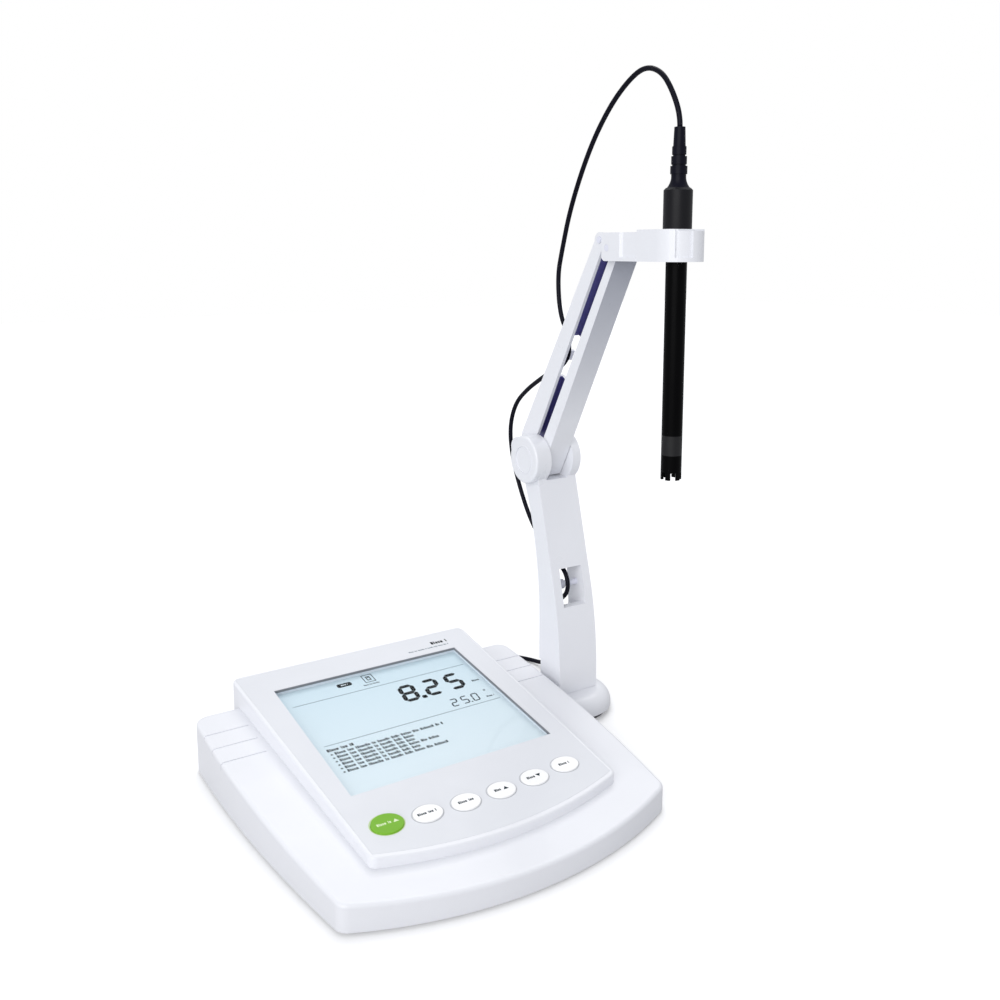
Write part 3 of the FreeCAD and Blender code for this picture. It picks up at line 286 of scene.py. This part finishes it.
def circuit_board():
    """Green solder mask over fine copper tracks."""
    finish = Finish("board_green")
    tracks = finish.add("ShaderNodeTexBrick", {"Scale": 260.0, "Mortar Size": 0.06},
                        {"Vector": finish.coordinates})
    finish.link(finish.blend(tracks.outputs["Fac"], (0.03, 0.18, 0.08), (0.08, 0.33, 0.16)), "Base Color")
    finish.link(finish.spread(finish.noise(80), 0.3, 0.45), "Roughness")
    finish.bump(tracks.outputs["Fac"], 0.03 * MM)
    return finish.material


# The lean of the rear link, and its lower pivot in the plane of the arm.
LEAN = math.radians(29.2)
REAR_PIVOT = (0.167, 0.1728)
# The floor of the rear link's channel: its two ends, across and up the link, and half its width.
CHANNEL_LOW, CHANNEL_HIGH = (7.3 * MM, 6 * MM), (2.2 * MM, 152.7 * MM)
CHANNEL_HALF = 6.1 * MM
# Painted shade: a dark violet laid on the floor of the rear link's channel, where shade falls between its
# walls.
PAINTED_CHANNEL_SHADE = (0.15, 0.14, 0.40)
# Painted shade: a grey laid up the front face of the front link, darker towards the top, as the shade of
# the head above it.
PAINTED_HEAD_SHADE = (0.34, 0.36, 0.43)


def on_rear_link(across, up):
    """A point in the plane of the arm, from its place in the leaning frame of the rear link."""
    y = REAR_PIVOT[0] + across * math.cos(LEAN) - up * math.sin(LEAN)
    z = REAR_PIVOT[1] + across * math.sin(LEAN) + up * math.cos(LEAN)
    return at(PROBE_X, y, z)


def painted_shade_in_channel(finish):
    """One on the floor of the rear link's channel, the faces between its walls that look to the front,
    where the painted shade of the channel goes.
    """
    low, high = on_rear_link(*CHANNEL_LOW), on_rear_link(*CHANNEL_HIGH)
    outward = Vector((0, high.z - low.z, low.y - high.y)).normalized()
    across = finish.math("SUBTRACT", finish.component(finish.coordinates, (1, 0, 0)), low.x)
    between = finish.math("LESS_THAN", finish.math("ABSOLUTE", across, 0.0), CHANNEL_HALF)
    depth = finish.component(finish.coordinates, outward)
    inner = finish.math("LESS_THAN", depth, low.dot(outward))
    facing = finish.math("LESS_THAN", finish.component(finish.normal, outward), 0.2)
    return finish.math("MULTIPLY", between, finish.math("MULTIPLY", inner, facing))


def painted_shade_up_front_face(finish):
    """Grows from nothing to one up the front face of the front link, under the hood of the head: where the
    painted shade of the head goes, darker towards the top.
    """
    low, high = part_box("front_link")
    start = low.z + (high.z - low.z) * 0.25
    height = finish.spread(finish.component(finish.coordinates, (0, 0, 1)), 0, 1, start, high.z)
    facing = finish.math("LESS_THAN", finish.component(finish.normal, (0, 1, 0)), -0.7)
    return finish.math("MULTIPLY", height, facing)


WHITE = (0.82, 0.83, 0.87)
# The numbers that painted() takes, from the colour to the variation, and then what is special.
LOOKS = {
    "case_white": (WHITE, 0.34, 2200, 0.02, 0.012, {"coat": 0.15}),
    "panel_grey": ((0.735, 0.75, 0.79), 0.38, 3500, 0.015, 0.012, {}),
    "backlight_white": ((0.88, 0.90, 0.88), 0.6, 1500, 0.02, 0.03, {}),
    "frame_black": ((0.05, 0.05, 0.055), 0.5, 1500, 0.03, 0.08, {}),
    "key_green": ((0.20, 0.47, 0.035), 0.5, 2500, 0.015, 0.03, {"shine": 0.2}),
    "key_white": ((0.97, 0.97, 0.97), 0.35, 2500, 0.015, 0.01, {"coat": 0.2}),
    "mat_rubber": ((0.5, 0.5, 0.53), 0.7, 1200, 0.04, 0.03, {}),
    "foot_rubber": ((0.05, 0.05, 0.055), 0.75, 1400, 0.06, 0.1, {}),
    "socket_metal": ((0.72, 0.72, 0.70), 0.28, 1500, 0.01, 0.05, {"metallic": 1.0, "stretch": (1, 12, 1)}),
    "socket_black": ((0.03, 0.03, 0.03), 0.45, 1600, 0.02, 0.08, {}),
    "screw_steel": ((0.55, 0.56, 0.58), 0.35, 2400, 0.01, 0.06, {"metallic": 1.0}),
    "plate_steel": ((0.30, 0.30, 0.33), 0.45, 1800, 0.02, 0.05, {"metallic": 0.4}),
    "arm_white": (WHITE, 0.32, 2200, 0.02, 0.012, {"coat": 0.15}),
    "arm_inner": ((0.76, 0.77, 0.87), 0.36, 2200, 0.02, 0.012, {}),
    "pin_steel": ((0.60, 0.60, 0.62), 0.25, 1800, 0.01, 0.05, {"metallic": 1.0, "stretch": (12, 1, 1)}),
    "washer_nylon": ((0.74, 0.73, 0.68), 0.5, 1500, 0.02, 0.03, {}),
    "grip_rubber": ((0.02, 0.02, 0.023), 0.65, 1600, 0.05, 0.1, {"shine": 0.25}),
    "probe_black": ((0.001, 0.001, 0.0012), 0.3, 1800, 0.02, 0.15, {"shine": 0.05}),
    "sleeve_grey": ((0.007, 0.007, 0.008), 0.45, 2000, 0.03, 0.1, {"shine": 0.3}),
    "stem_epoxy": ((0.65, 0.52, 0.25), 0.3, 1500, 0.01, 0.03, {}),
    "cable_black": ((0.003, 0.003, 0.009), 0.4, 1500, 0.03, 0.15, {"shine": 0.12}),
    "plug_metal": ((0.72, 0.72, 0.70), 0.27, 1500, 0.01, 0.05, {"metallic": 1.0, "stretch": (1, 12, 1)}),
    "boot_black": ((0.010, 0.010, 0.012), 0.55, 1700, 0.04, 0.12, {"shine": 0.3}),
}
# Finishes of single nodes, and of print and painted shade laid as thin layers, in place of the one of their
# slot.
CAP_LOOK = ((0.004, 0.004, 0.006), 0.42, 1800, 0.02, 0.1, {"shine": 0.22})
PRINT_AND_SHADE_LOOKS = {
    "print_black": ((0.006, 0.008, 0.010), 0.7, 3000, 0.005, 0.1, {"shine": 0.1}),
    "print_grey": ((0.035, 0.05, 0.06), 0.7, 3000, 0.005, 0.05, {"shine": 0.1}),
    "print_faint": ((0.20, 0.25, 0.28), 0.7, 3000, 0.005, 0.05, {"shine": 0.1}),
    "print_white": ((0.85, 0.90, 0.90), 0.5, 3000, 0.005, 0.03, {}),
    # Painted shadow at the top and right edges of the display window.
    "painted_shadow_grey": ((0.21, 0.22, 0.24), 0.6, 2500, 0.01, 0.05, {"shine": 0.2}),
    "key_light": ((0.75, 0.88, 0.55), 0.6, 2500, 0.01, 0.03, {}),
    # Painted shade of the gap round each key: grey round the white keys, tinted green round the green key.
    "gap_shade_grey": ((0.50, 0.51, 0.54), 0.45, 2500, 0.01, 0.03, {}),
    "gap_shade_green": ((0.50, 0.66, 0.25), 0.45, 2500, 0.01, 0.03, {}),
}


def painted_as(name, look, patch=None):
    *numbers, special = look
    return painted(name, *numbers, **special, patch=patch)


SLOTS = {name: painted_as(name, look) for name, look in LOOKS.items()}
SLOTS.update(window_clear=display_glass(), lcd_cyan=display_cell(), board_green=circuit_board())
PRINT_AND_SHADE_FINISHES = {name: painted_as(name, look) for name, look in PRINT_AND_SHADE_LOOKS.items()}


def finish_nodes():
    """Gives each CAD node the finish of its material slot, or its own; the own finishes of the two links
    carry painted shade.
    """
    for part in frame["record"]["subparts"]:
        for place in NODES[part["node"]].material_slots:
            place.material = SLOTS[part["material_slot"]]
    arm = LOOKS["arm_white"]
    own = {
        # The rear link's white, with painted shade in its channel.
        "rear_link": painted_as("rear_link_white_painted_shade", arm, (PAINTED_CHANNEL_SHADE, painted_shade_in_channel)),
        # The front link's white, with painted shade up its front face.
        "front_link": painted_as("front_link_white_painted_shade", arm, (PAINTED_HEAD_SHADE, painted_shade_up_front_face)),
        "probe_cap": painted_as("cap_black", CAP_LOOK),
    }
    for name, finish in own.items():
        NODES[name].material_slots[0].material = finish


# ---------------------------------------------------------------- cable

# The route of the cable in the frame of the case, in millimetres: up out of the strain relief, over and
# down behind the arm, through the two windows, out of the hook and over the bench to the plug.
ROUTE = [(x * MM, y * MM, z * MM) for x, y, z in (
    (128, 30.5, 372), (128, 30.5, 378.5), (128.1, 37.5, 392.5), (128, 46.5, 403.5),
    (127.8, 60, 408), (127.6, 74, 402.5), (127.4, 91.5, 389), (127.4, 110.5, 366),
    (127.7, 129, 332.5), (128, 138.5, 304.5), (128.2, 143, 289), (128.3, 140.5, 265),
    (128.2, 131.5, 252), (128, 128.6, 240.5), (128, 135, 231.8), (128.2, 147, 227),
    (128.4, 162, 219.5), (128.4, 178, 210.5), (128.2, 192.5, 199), (128, 199.5, 181),
    (128.2, 196.5, 160), (128.6, 187, 139), (128.4, 173.5, 119), (127.2, 156, 106.5),
    (126.2, 140, 99.8), (125.8, 126.8, 93.8), (125.9, 124.5, 81.8), (126.6, 134.5, 72.8),
    (128, 148.5, 64.8), (133, 158.5, 50), (140, 165.5, 32), (146.5, 173.5, 14.5),
    (149.5, 186, 3.6), (147.5, 202, 1.6), (138, 216, 1.6), (122, 223, 1.6),
    (102, 227, 1.6), (80, 233, 1.6), (58, 238, 1.6), (36, 239, 1.6),
    (14, 236, 1.6), (-6, 232, 1.6), (-23, 232.5, 1.6), (-36, 236.5, 1.6),
    (-43, 245.5, 1.6), (-40, 256, 1.6), (-30, 261.5, 1.6), (-14, 262.5, 1.6),
    (4, 261, 1.6), (22, 262.5, 1.8), (37, 258.5, 5), (46, 251, 14.5),
    (48, 240, 21), (48, 228, 21),
)]
CABLE_DIAMETER = 0.003
CABLE_SIDES = 20
# The first and last point of each stretch. It meets the next at the middle of the run after its last point.
STRETCHES = {"cable_probe": (0, 3), "cable_head": (4, 9), "cable_link": (10, 19),
             "cable_column": (20, 29), "cable_bench": (30, 53)}


def stretch_points(name):
    """The control points of one stretch of the cable, its two ends included."""
    first, last = STRETCHES[name]
    points = [at(*point) for point in ROUTE]
    inner = points[first:last + 1]
    start = [(points[first - 1] + points[first]) / 2] if first else []
    end = [(points[last] + points[last + 1]) / 2] if last + 1 < len(points) else []
    return start + inner + end


def smooth_line(points):
    """The points along the NURBS line that has these control points."""
    curve = bpy.data.curves.new("route", "CURVE")
    curve.dimensions = "3D"
    spline = curve.splines.new("NURBS")
    spline.points.add(len(points) - 1)
    for control, point in zip(spline.points, points):
        control.co = (*point, 1)
    spline.order_u = 3
    spline.use_endpoint_u = True
    spline.resolution_u = 10
    holder = bpy.data.objects.new("route", curve)
    mesh = bpy.data.meshes.new_from_object(holder)
    line = [vertex.co.copy() for vertex in mesh.vertices]
    bpy.data.objects.remove(holder)
    bpy.data.meshes.remove(mesh)
    bpy.data.curves.remove(curve)
    return line


def turns(count):
    return [2 * math.pi * step / count for step in range(count)]


def ring(centre, across, third, radii):
    """Points round a centre in the plane of two directions, one for each of the radii."""
    return [centre + radius * (math.cos(turn) * across + math.sin(turn) * third)
            for radius, turn in zip(radii, turns(len(radii)))]


def band(base, count):
    """The faces between a ring of count points, the first of which is point base, and the next ring."""
    return [(base + i, base + (i + 1) % count, base + count + (i + 1) % count, base + count + i)
            for i in range(count)]


def ends(last, count):
    """The two faces that close a stack of rings of count points, the last of which starts at point last."""
    return [tuple(range(count)), tuple(range(last, last + count))]


def tube_mesh(name, line, radius):
    """A closed tube along a line, with rings that don't twist."""
    vertices, faces = [], []
    directions = [(line[min(i + 1, len(line) - 1)] - line[max(i - 1, 0)]).normalized()
                  for i in range(len(line))]
    across = directions[0].orthogonal().normalized()
    for index, (centre, direction) in enumerate(zip(line, directions)):
        across = (across - across.dot(direction) * direction).normalized()
        vertices += ring(centre, across, direction.cross(across), [radius] * CABLE_SIDES)
        if index:
            faces += band((index - 1) * CABLE_SIDES, CABLE_SIDES)
    faces += ends((len(line) - 1) * CABLE_SIDES, CABLE_SIDES)
    return piece_from(name, vertices, faces, smooth=True)


def piece_from(name, vertices, faces, smooth=False):
    mesh = bpy.data.meshes.new(name)
    mesh.from_pydata(vertices, [], faces)
    work = bmesh.new()
    work.from_mesh(mesh)
    bmesh.ops.recalc_face_normals(work, faces=work.faces)
    work.to_mesh(mesh)
    work.free()
    if smooth:
        mesh.shade_smooth()
    made = bpy.data.objects.new(name, mesh)
    bpy.context.scene.collection.objects.link(made)
    return made


def make_cable(plug):
    """The five stretches of the cable as tubes in place of the CAD ones; the last rides with the case, the
    others stay where they are.
    """
    for name in STRETCHES:
        line = smooth_line(stretch_points(name))
        to_plug = name == "cable_bench"
        tube = tube_mesh(f"{name}_jacket", line, CABLE_DIAMETER / 2)
        tube.data.materials.append(SLOTS["cable_black"])
        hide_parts(name)
        if to_plug:
            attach(tube, "case")
        else:
            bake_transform(tube)


# ---------------------------------------------------------------- inclined panel

SLOPE = math.radians(7)
PANEL_FRONT_HEIGHT = 0.0212
PANEL_FRAME = Matrix.Translation(at(0, 0, PANEL_FRONT_HEIGHT)) @ Matrix.Rotation(SLOPE, 4, "X")
DISPLAY_HEIGHT = -3.4 * MM
KEY_HEIGHT = 0.9 * MM
INK = 0.06 * MM
# The window in the faceplate: half its width, how far up the slope it starts, and its length.
WINDOW_HALF, WINDOW_FRONT, WINDOW_LENGTH = 0.0628, 0.056, 0.1126
# The width of the painted shadow at the top and right edges of the window.
SHADOW_LINE_WIDTH = 0.5 * MM


def on_panel(x, y, height):
    """A point from its place on the inclined face, x across and y up the slope, and its height above it."""
    return PANEL_FRAME @ Vector((x, y, height))


def flat_layer(name, shapes, height, finish, body, thickness=INK):
    """Flat shapes, each a list of (x, y) on the inclined face, as a thin layer at a height above it."""
    vertices, faces = [], []
    for shape in shapes:
        base, count = len(vertices), len(shape)
        vertices += [on_panel(x, y, height) for x, y in shape]
        vertices += [on_panel(x, y, height + thickness) for x, y in shape]
        faces += [tuple(range(base, base + count)), tuple(range(base + count, base + 2 * count))]
        faces += band(base, count)
    layer = piece_from(name, vertices, faces)
    layer.data.materials.append(PRINT_AND_SHADE_FINISHES[finish])
    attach(layer, body)


def bar(x, y, length, height):
    """A bar with cut corners, from its lower left corner."""
    cut = min(length, height) * 0.2
    return [(x + cut, y), (x + length - cut, y), (x + length, y + cut), (x + length, y + height - cut),
            (x + length - cut, y + height), (x + cut, y + height), (x, y + height - cut), (x, y + cut)]


def frame_bars(x, y, length, height, width):
    """The four sides of a rectangle, each width wide."""
    return [bar(x, y, length, width), bar(x, y + height - width, length, width),
            bar(x, y, width, height), bar(x + length - width, y, width, height)]


def moved(shape, x, y):
    return [(x + u, y + v) for u, v in shape]


def oval(long, short, steps=48):
    return [(long * math.cos(turn), short * math.sin(turn)) for turn in turns(steps)]


def oval_ring(long, short, width):
    """An oval ring, as one four-cornered shape per step."""
    inner, outer = oval(long, short), oval(long + width, short + width)
    return [[inner[i - 1], outer[i - 1], outer[i], inner[i]] for i in range(len(inner))]


# The strokes of small text as shares of its height, and the letters of each word.
STROKE_WIDTHS = (0.46, 0.24, 0.40, 0.33, 0.50, 0.20, 0.42)
STROKE_GAP, WORD_GAP, LOW_LETTER = 0.16, 0.5, 0.74
WORDS = (5, 3, 7, 2, 6, 4)


def letters(x, y, length, height):
    """A line of text too small to read: strokes of a few widths and heights, in words."""
    shapes, reached, left_in_word, word = [], 0.0, WORDS[0], 0
    while reached < length:
        width = STROKE_WIDTHS[len(shapes) % len(STROKE_WIDTHS)] * height
        is_tall = left_in_word == WORDS[word % len(WORDS)] or len(shapes) % 4 == 1
        shapes.append(bar(x + reached, y, width, height if is_tall else LOW_LETTER * height))
        left_in_word -= 1
        reached += width + STROKE_GAP * height
        if left_in_word == 0:
            word += 1
            left_in_word = WORDS[word % len(WORDS)]
            reached += WORD_GAP * height
    return shapes


# Segments of a digit, as their two ends on a grid one wide and two high.
SEGMENTS = {"a": ((0, 2), (1, 2)), "b": ((1, 1), (1, 2)), "c": ((1, 0), (1, 1)), "d": ((0, 0), (1, 0)),
            "e": ((0, 0), (0, 1)), "f": ((0, 1), (0, 2)), "g": ((0, 1), (1, 1))}
DIGITS = {"0": "abcdef", "2": "abged", "5": "afgcd", "8": "abcdefg"}
DIGIT_LEAN = 0.12
# The gap left at each end of a segment, and the side of the decimal point, as shares of the stroke.
SEGMENT_GAP, DOT_SIZE = 0.06, 1.15


def digit_shapes(digit, x, y, width, height, stroke):
    """The lit segments of a leaning digit, each a bar with pointed ends."""
    shapes = []
    for letter in DIGITS[digit]:
        (u0, v0), (u1, v1) = SEGMENTS[letter]
        start = Vector((u0 * width, v0 * height / 2))
        end = Vector((u1 * width, v1 * height / 2))
        run = (end - start).normalized()
        side = Vector((-run.y, run.x)) * stroke / 2
        start, end = start + run * stroke * SEGMENT_GAP, end - run * stroke * SEGMENT_GAP
        tip = run * stroke / 2
        outline = [start, start + tip + side, end - tip + side, end, end - tip - side, start + tip - side]
        shapes.append([(x + point.x + DIGIT_LEAN * point.y, y + point.y) for point in outline])
    return shapes


def reading(text, right, bottom, width, height, stroke, pitch):
    """A number that ends at right; a point takes no room of its own."""
    shapes = []
    digits = text.replace(".", "")
    left = right - width - DIGIT_LEAN * height - (len(digits) - 1) * pitch
    for index, digit in enumerate(digits):
        shapes += digit_shapes(digit, left + index * pitch, bottom, width, height, stroke)
    after = text.index(".") - 1
    gap = (pitch - width) / 2
    dot = stroke * DOT_SIZE
    shapes.append(bar(left + after * pitch + width + gap - dot / 2, bottom - dot / 2, dot, dot))
    return shapes


# What is on the inclined face, as x, y, length and height, and for a frame the width of its sides.
PILL, PILL_TEXT = (-0.0246, 0.1599, 0.0096, 0.0040), (-0.0220, 0.1613, 0.0046, 0.0013)
ICON_PAGE, ICON_BOX = (-0.0067, 0.1582, 0.0072, 0.0090, 0.0005), (-0.0045, 0.1604, 0.0028, 0.0046, 0.0006)
ICON_DOT, ICON_TEXT = (-0.0036, 0.1634, 0.0012, 0.0016), (-0.0092, 0.1552, 0.0110, 0.0012)
UNIT, SMALL_UNIT = (0.0546, 0.1303, 0.0059, 0.0019), (0.0536, 0.1106, 0.0052, 0.0015)
DEGREE_SIGN = (0.0552, 0.1178, 0.0014, 0.0014, 0.0004)
RULES = ((-0.0574, 0.1515, 0.1176, 0.0004), (-0.0564, 0.1064, 0.1167, 0.0004))
MESSAGE_TITLE = (-0.0566, 0.1008, 0.0150, 0.0026)
LABEL_HEADING, LABEL_LINE = (0.0510, 0.1782, 0.0115, 0.0034), (0.0320, 0.1744, 0.0296, 0.0013)
# The lines of the message: where each ends, the foot of the first, and their pitch and height.
MESSAGE_ENDS = (0.0138, -0.0073, -0.0081, 0.0053, -0.0086, 0.0075)
MESSAGE_TOP, MESSAGE_PITCH, MESSAGE_HEIGHT = 0.0970, 0.00348, 0.0024
MESSAGE_LEFT, BULLET_LEFT, BULLET_RISE, BULLET = -0.0536, -0.0561, 0.0003, 0.0011


def message_lines():
    """Bulleted lines of unreadable text."""
    shapes = []
    for row, end in enumerate(MESSAGE_ENDS):
        y = MESSAGE_TOP - row * MESSAGE_PITCH
        shapes += [bar(BULLET_LEFT, y + BULLET_RISE, BULLET, BULLET),
                   *letters(MESSAGE_LEFT, y, end - MESSAGE_LEFT, MESSAGE_HEIGHT)]
    return shapes


def make_display_image():
    """What the display shows: two readings, rules, marks and lines of unreadable text."""
    ink = DISPLAY_HEIGHT + 0.02 * MM
    big = reading("8.25", right=0.0493, bottom=0.1282, width=0.0083, height=0.0156, stroke=0.0028,
                  pitch=0.0161)
    small = reading("25.0", right=0.0492, bottom=0.1104, width=0.0038, height=0.0074, stroke=0.00085,
                    pitch=0.0074)
    icon = [*frame_bars(*ICON_PAGE), *frame_bars(*ICON_BOX), bar(*ICON_DOT), *letters(*ICON_TEXT)]
    units = [*letters(*UNIT), *letters(*SMALL_UNIT), *frame_bars(*DEGREE_SIGN)]
    for name, shapes, height, finish in (
            ("display_reading", big + [bar(*PILL)] + letters(*MESSAGE_TITLE), ink, "print_black"),
            ("display_pill_text", letters(*PILL_TEXT), ink + INK, "print_white"),
            ("display_small_marks", small + icon + units + message_lines(), ink, "print_grey"),
            ("display_rules", [bar(*rule) for rule in RULES], ink, "print_faint")):
        flat_layer(name, shapes, height, finish, "case")


def make_faceplate_marks():
    """A painted shadow, dark strips along the two edges of the window that show a shadow, the top and the
    right, and two lines of small text above it.
    """
    shadow_lines = [bar(-WINDOW_HALF, WINDOW_FRONT + WINDOW_LENGTH - SHADOW_LINE_WIDTH, 2 * WINDOW_HALF, SHADOW_LINE_WIDTH),
            bar(WINDOW_HALF - SHADOW_LINE_WIDTH, WINDOW_FRONT, SHADOW_LINE_WIDTH, WINDOW_LENGTH)]
    flat_layer("window_painted_shadow", shadow_lines, -1.48 * MM, "painted_shadow_grey", "case", 1.35 * MM)
    flat_layer("label_heading", letters(*LABEL_HEADING), 0, "print_black", "case")
    flat_layer("label_line", letters(*LABEL_LINE), 0, "print_faint", "case")


# The text on each key: how far it starts and ends from the middle of the key, and where a mark follows it.
KEY_TEXT = {"key_measure": (-0.0056, 0.0022, 0.0046), "key_mode": (-0.0058, 0.0050, None),
            "key_cal": (-0.0045, 0.0038, None), "key_up": (-0.0043, -0.0004, 0.0024),
            "key_down": (-0.0048, -0.0004, 0.0026), "key_enter": (-0.0040, 0.0024, None)}
KEY_TEXT_FOOT, KEY_TEXT_HEIGHT = -0.0009, 0.0019
ARROW_HALF, ARROW_RISE = 0.0015, 0.0011
# Half the length and half the width of the inside of the ring of painted shade round a key.
GREEN_GAP_SHADE, GREY_GAP_SHADE = (0.0089, 0.0077), (0.0083, 0.0066)
GAP_SHADE_WIDTH = 0.5 * MM


def key_mark(name):
    """The mark on a key, about its middle: a short text, and an arrow head on some."""
    start, end, arrow = KEY_TEXT[name]
    shapes = letters(start, KEY_TEXT_FOOT, end - start, KEY_TEXT_HEIGHT)
    if arrow is None:
        return shapes
    rise = -ARROW_RISE if name == "key_down" else ARROW_RISE
    return shapes + [[(arrow - ARROW_HALF, -rise), (arrow + ARROW_HALF, -rise), (arrow, rise)]]


def make_key_marks():
    """A thin ring of painted shade round each key on the faceplate, where the gap round the key is shaded,
    and a mark on its top.
    """
    for name in KEY_TEXT:
        green = name == "key_measure"
        centre = PANEL_FRAME.inverted() @ middle(name)
        gap_shade = oval_ring(*(GREEN_GAP_SHADE if green else GREY_GAP_SHADE), GAP_SHADE_WIDTH)
        flat_layer(f"{name}_gap_shade", [moved(shape, centre.x, centre.y) for shape in gap_shade], 0,
                "gap_shade_green" if green else "gap_shade_grey", "case")
        flat_layer(f"{name}_mark", [moved(shape, centre.x, centre.y) for shape in key_mark(name)], KEY_HEIGHT,
                "key_light" if green else "print_grey", f"{name}_body")


# ---------------------------------------------------------------- plug

RIBS = 5


def lathe(name, outline, start, steps, knurl=None):
    """A piece turned about a line along Y: outline is (distance, radius) from start, and knurl is the first
    and last distance of a knurled stretch, its teeth and their depth."""
    direction = Vector((0, 1, 0))
    across = direction.orthogonal().normalized()
    vertices, faces = [], []
    for index, (distance, radius) in enumerate(outline):
        radii = [radius] * steps
        if knurl:
            first, last, teeth, depth = knurl
            if first <= distance <= last:
                radii = [radius + depth * math.cos(teeth * turn) for turn in turns(steps)]
        vertices += ring(start + direction * distance, across, direction.cross(across), radii)
        if index:
            faces += band((index - 1) * steps, steps)
    faces += ends((len(outline) - 1) * steps, steps)
    return piece_from(name, vertices, faces)


def turned_size(node):
    """The middle of the near end of a node that is turned about a line along Y, its radius and length."""
    low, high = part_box(node)
    start = Vector(((low.x + high.x) / 2, low.y, (low.z + high.z) / 2))
    return start, (high.x - low.x) / 2, high.y - low.y


def in_place_of(node, piece, slot):
    piece.data.materials.append(SLOTS[slot])
    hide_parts(node)
    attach(piece, "case")
    return piece


def make_collar():
    """The coupling sleeve of the plug, with its knurled grip."""
    start, radius, length = turned_size("bnc_plug")
    grip = (0.35 * length, 0.92 * length)
    outline = [(0, radius * 0.88), (0.0006, radius * 0.93), (0.3 * length, radius * 0.93),
               (0.33 * length, radius * 0.88), (grip[0], radius * 0.965), (grip[1], radius * 0.965),
               (0.95 * length, radius * 0.88), (length, radius * 0.8)]
    knurl = (*grip, 36, radius * 0.035)
    return in_place_of("bnc_plug", lathe("bnc_collar", outline, start, 144, knurl), "plug_metal")


def make_boot():
    """The boot behind the plug, with ribs that taper down to the cable."""
    start, radius, length = turned_size("plug_boot")
    tip = CABLE_DIAMETER / 2 + 0.0008
    outline = [(0, radius), (0.12 * length, radius), (0.2 * length, radius * 0.86)]
    for rib in range(RIBS):
        share = 0.26 + 0.13 * rib
        size = radius * 0.84 + (tip - radius * 0.84) * rib / (RIBS - 1)
        outline += [(share * length, size), ((share + 0.07) * length, size),
                    ((share + 0.08) * length, size * 0.8), ((share + 0.12) * length, size * 0.8)]
    outline += [(0.92 * length, tip), (length, tip * 0.9)]
    return in_place_of("plug_boot", lathe("plug_boot_ribbed", outline, start, 64), "boot_black")


make_camera()
make_floor()
make_lights()
finish_nodes()
collar = make_collar()
make_cable([make_boot(), collar])
make_display_image()
make_faceplate_marks()
make_key_marks()
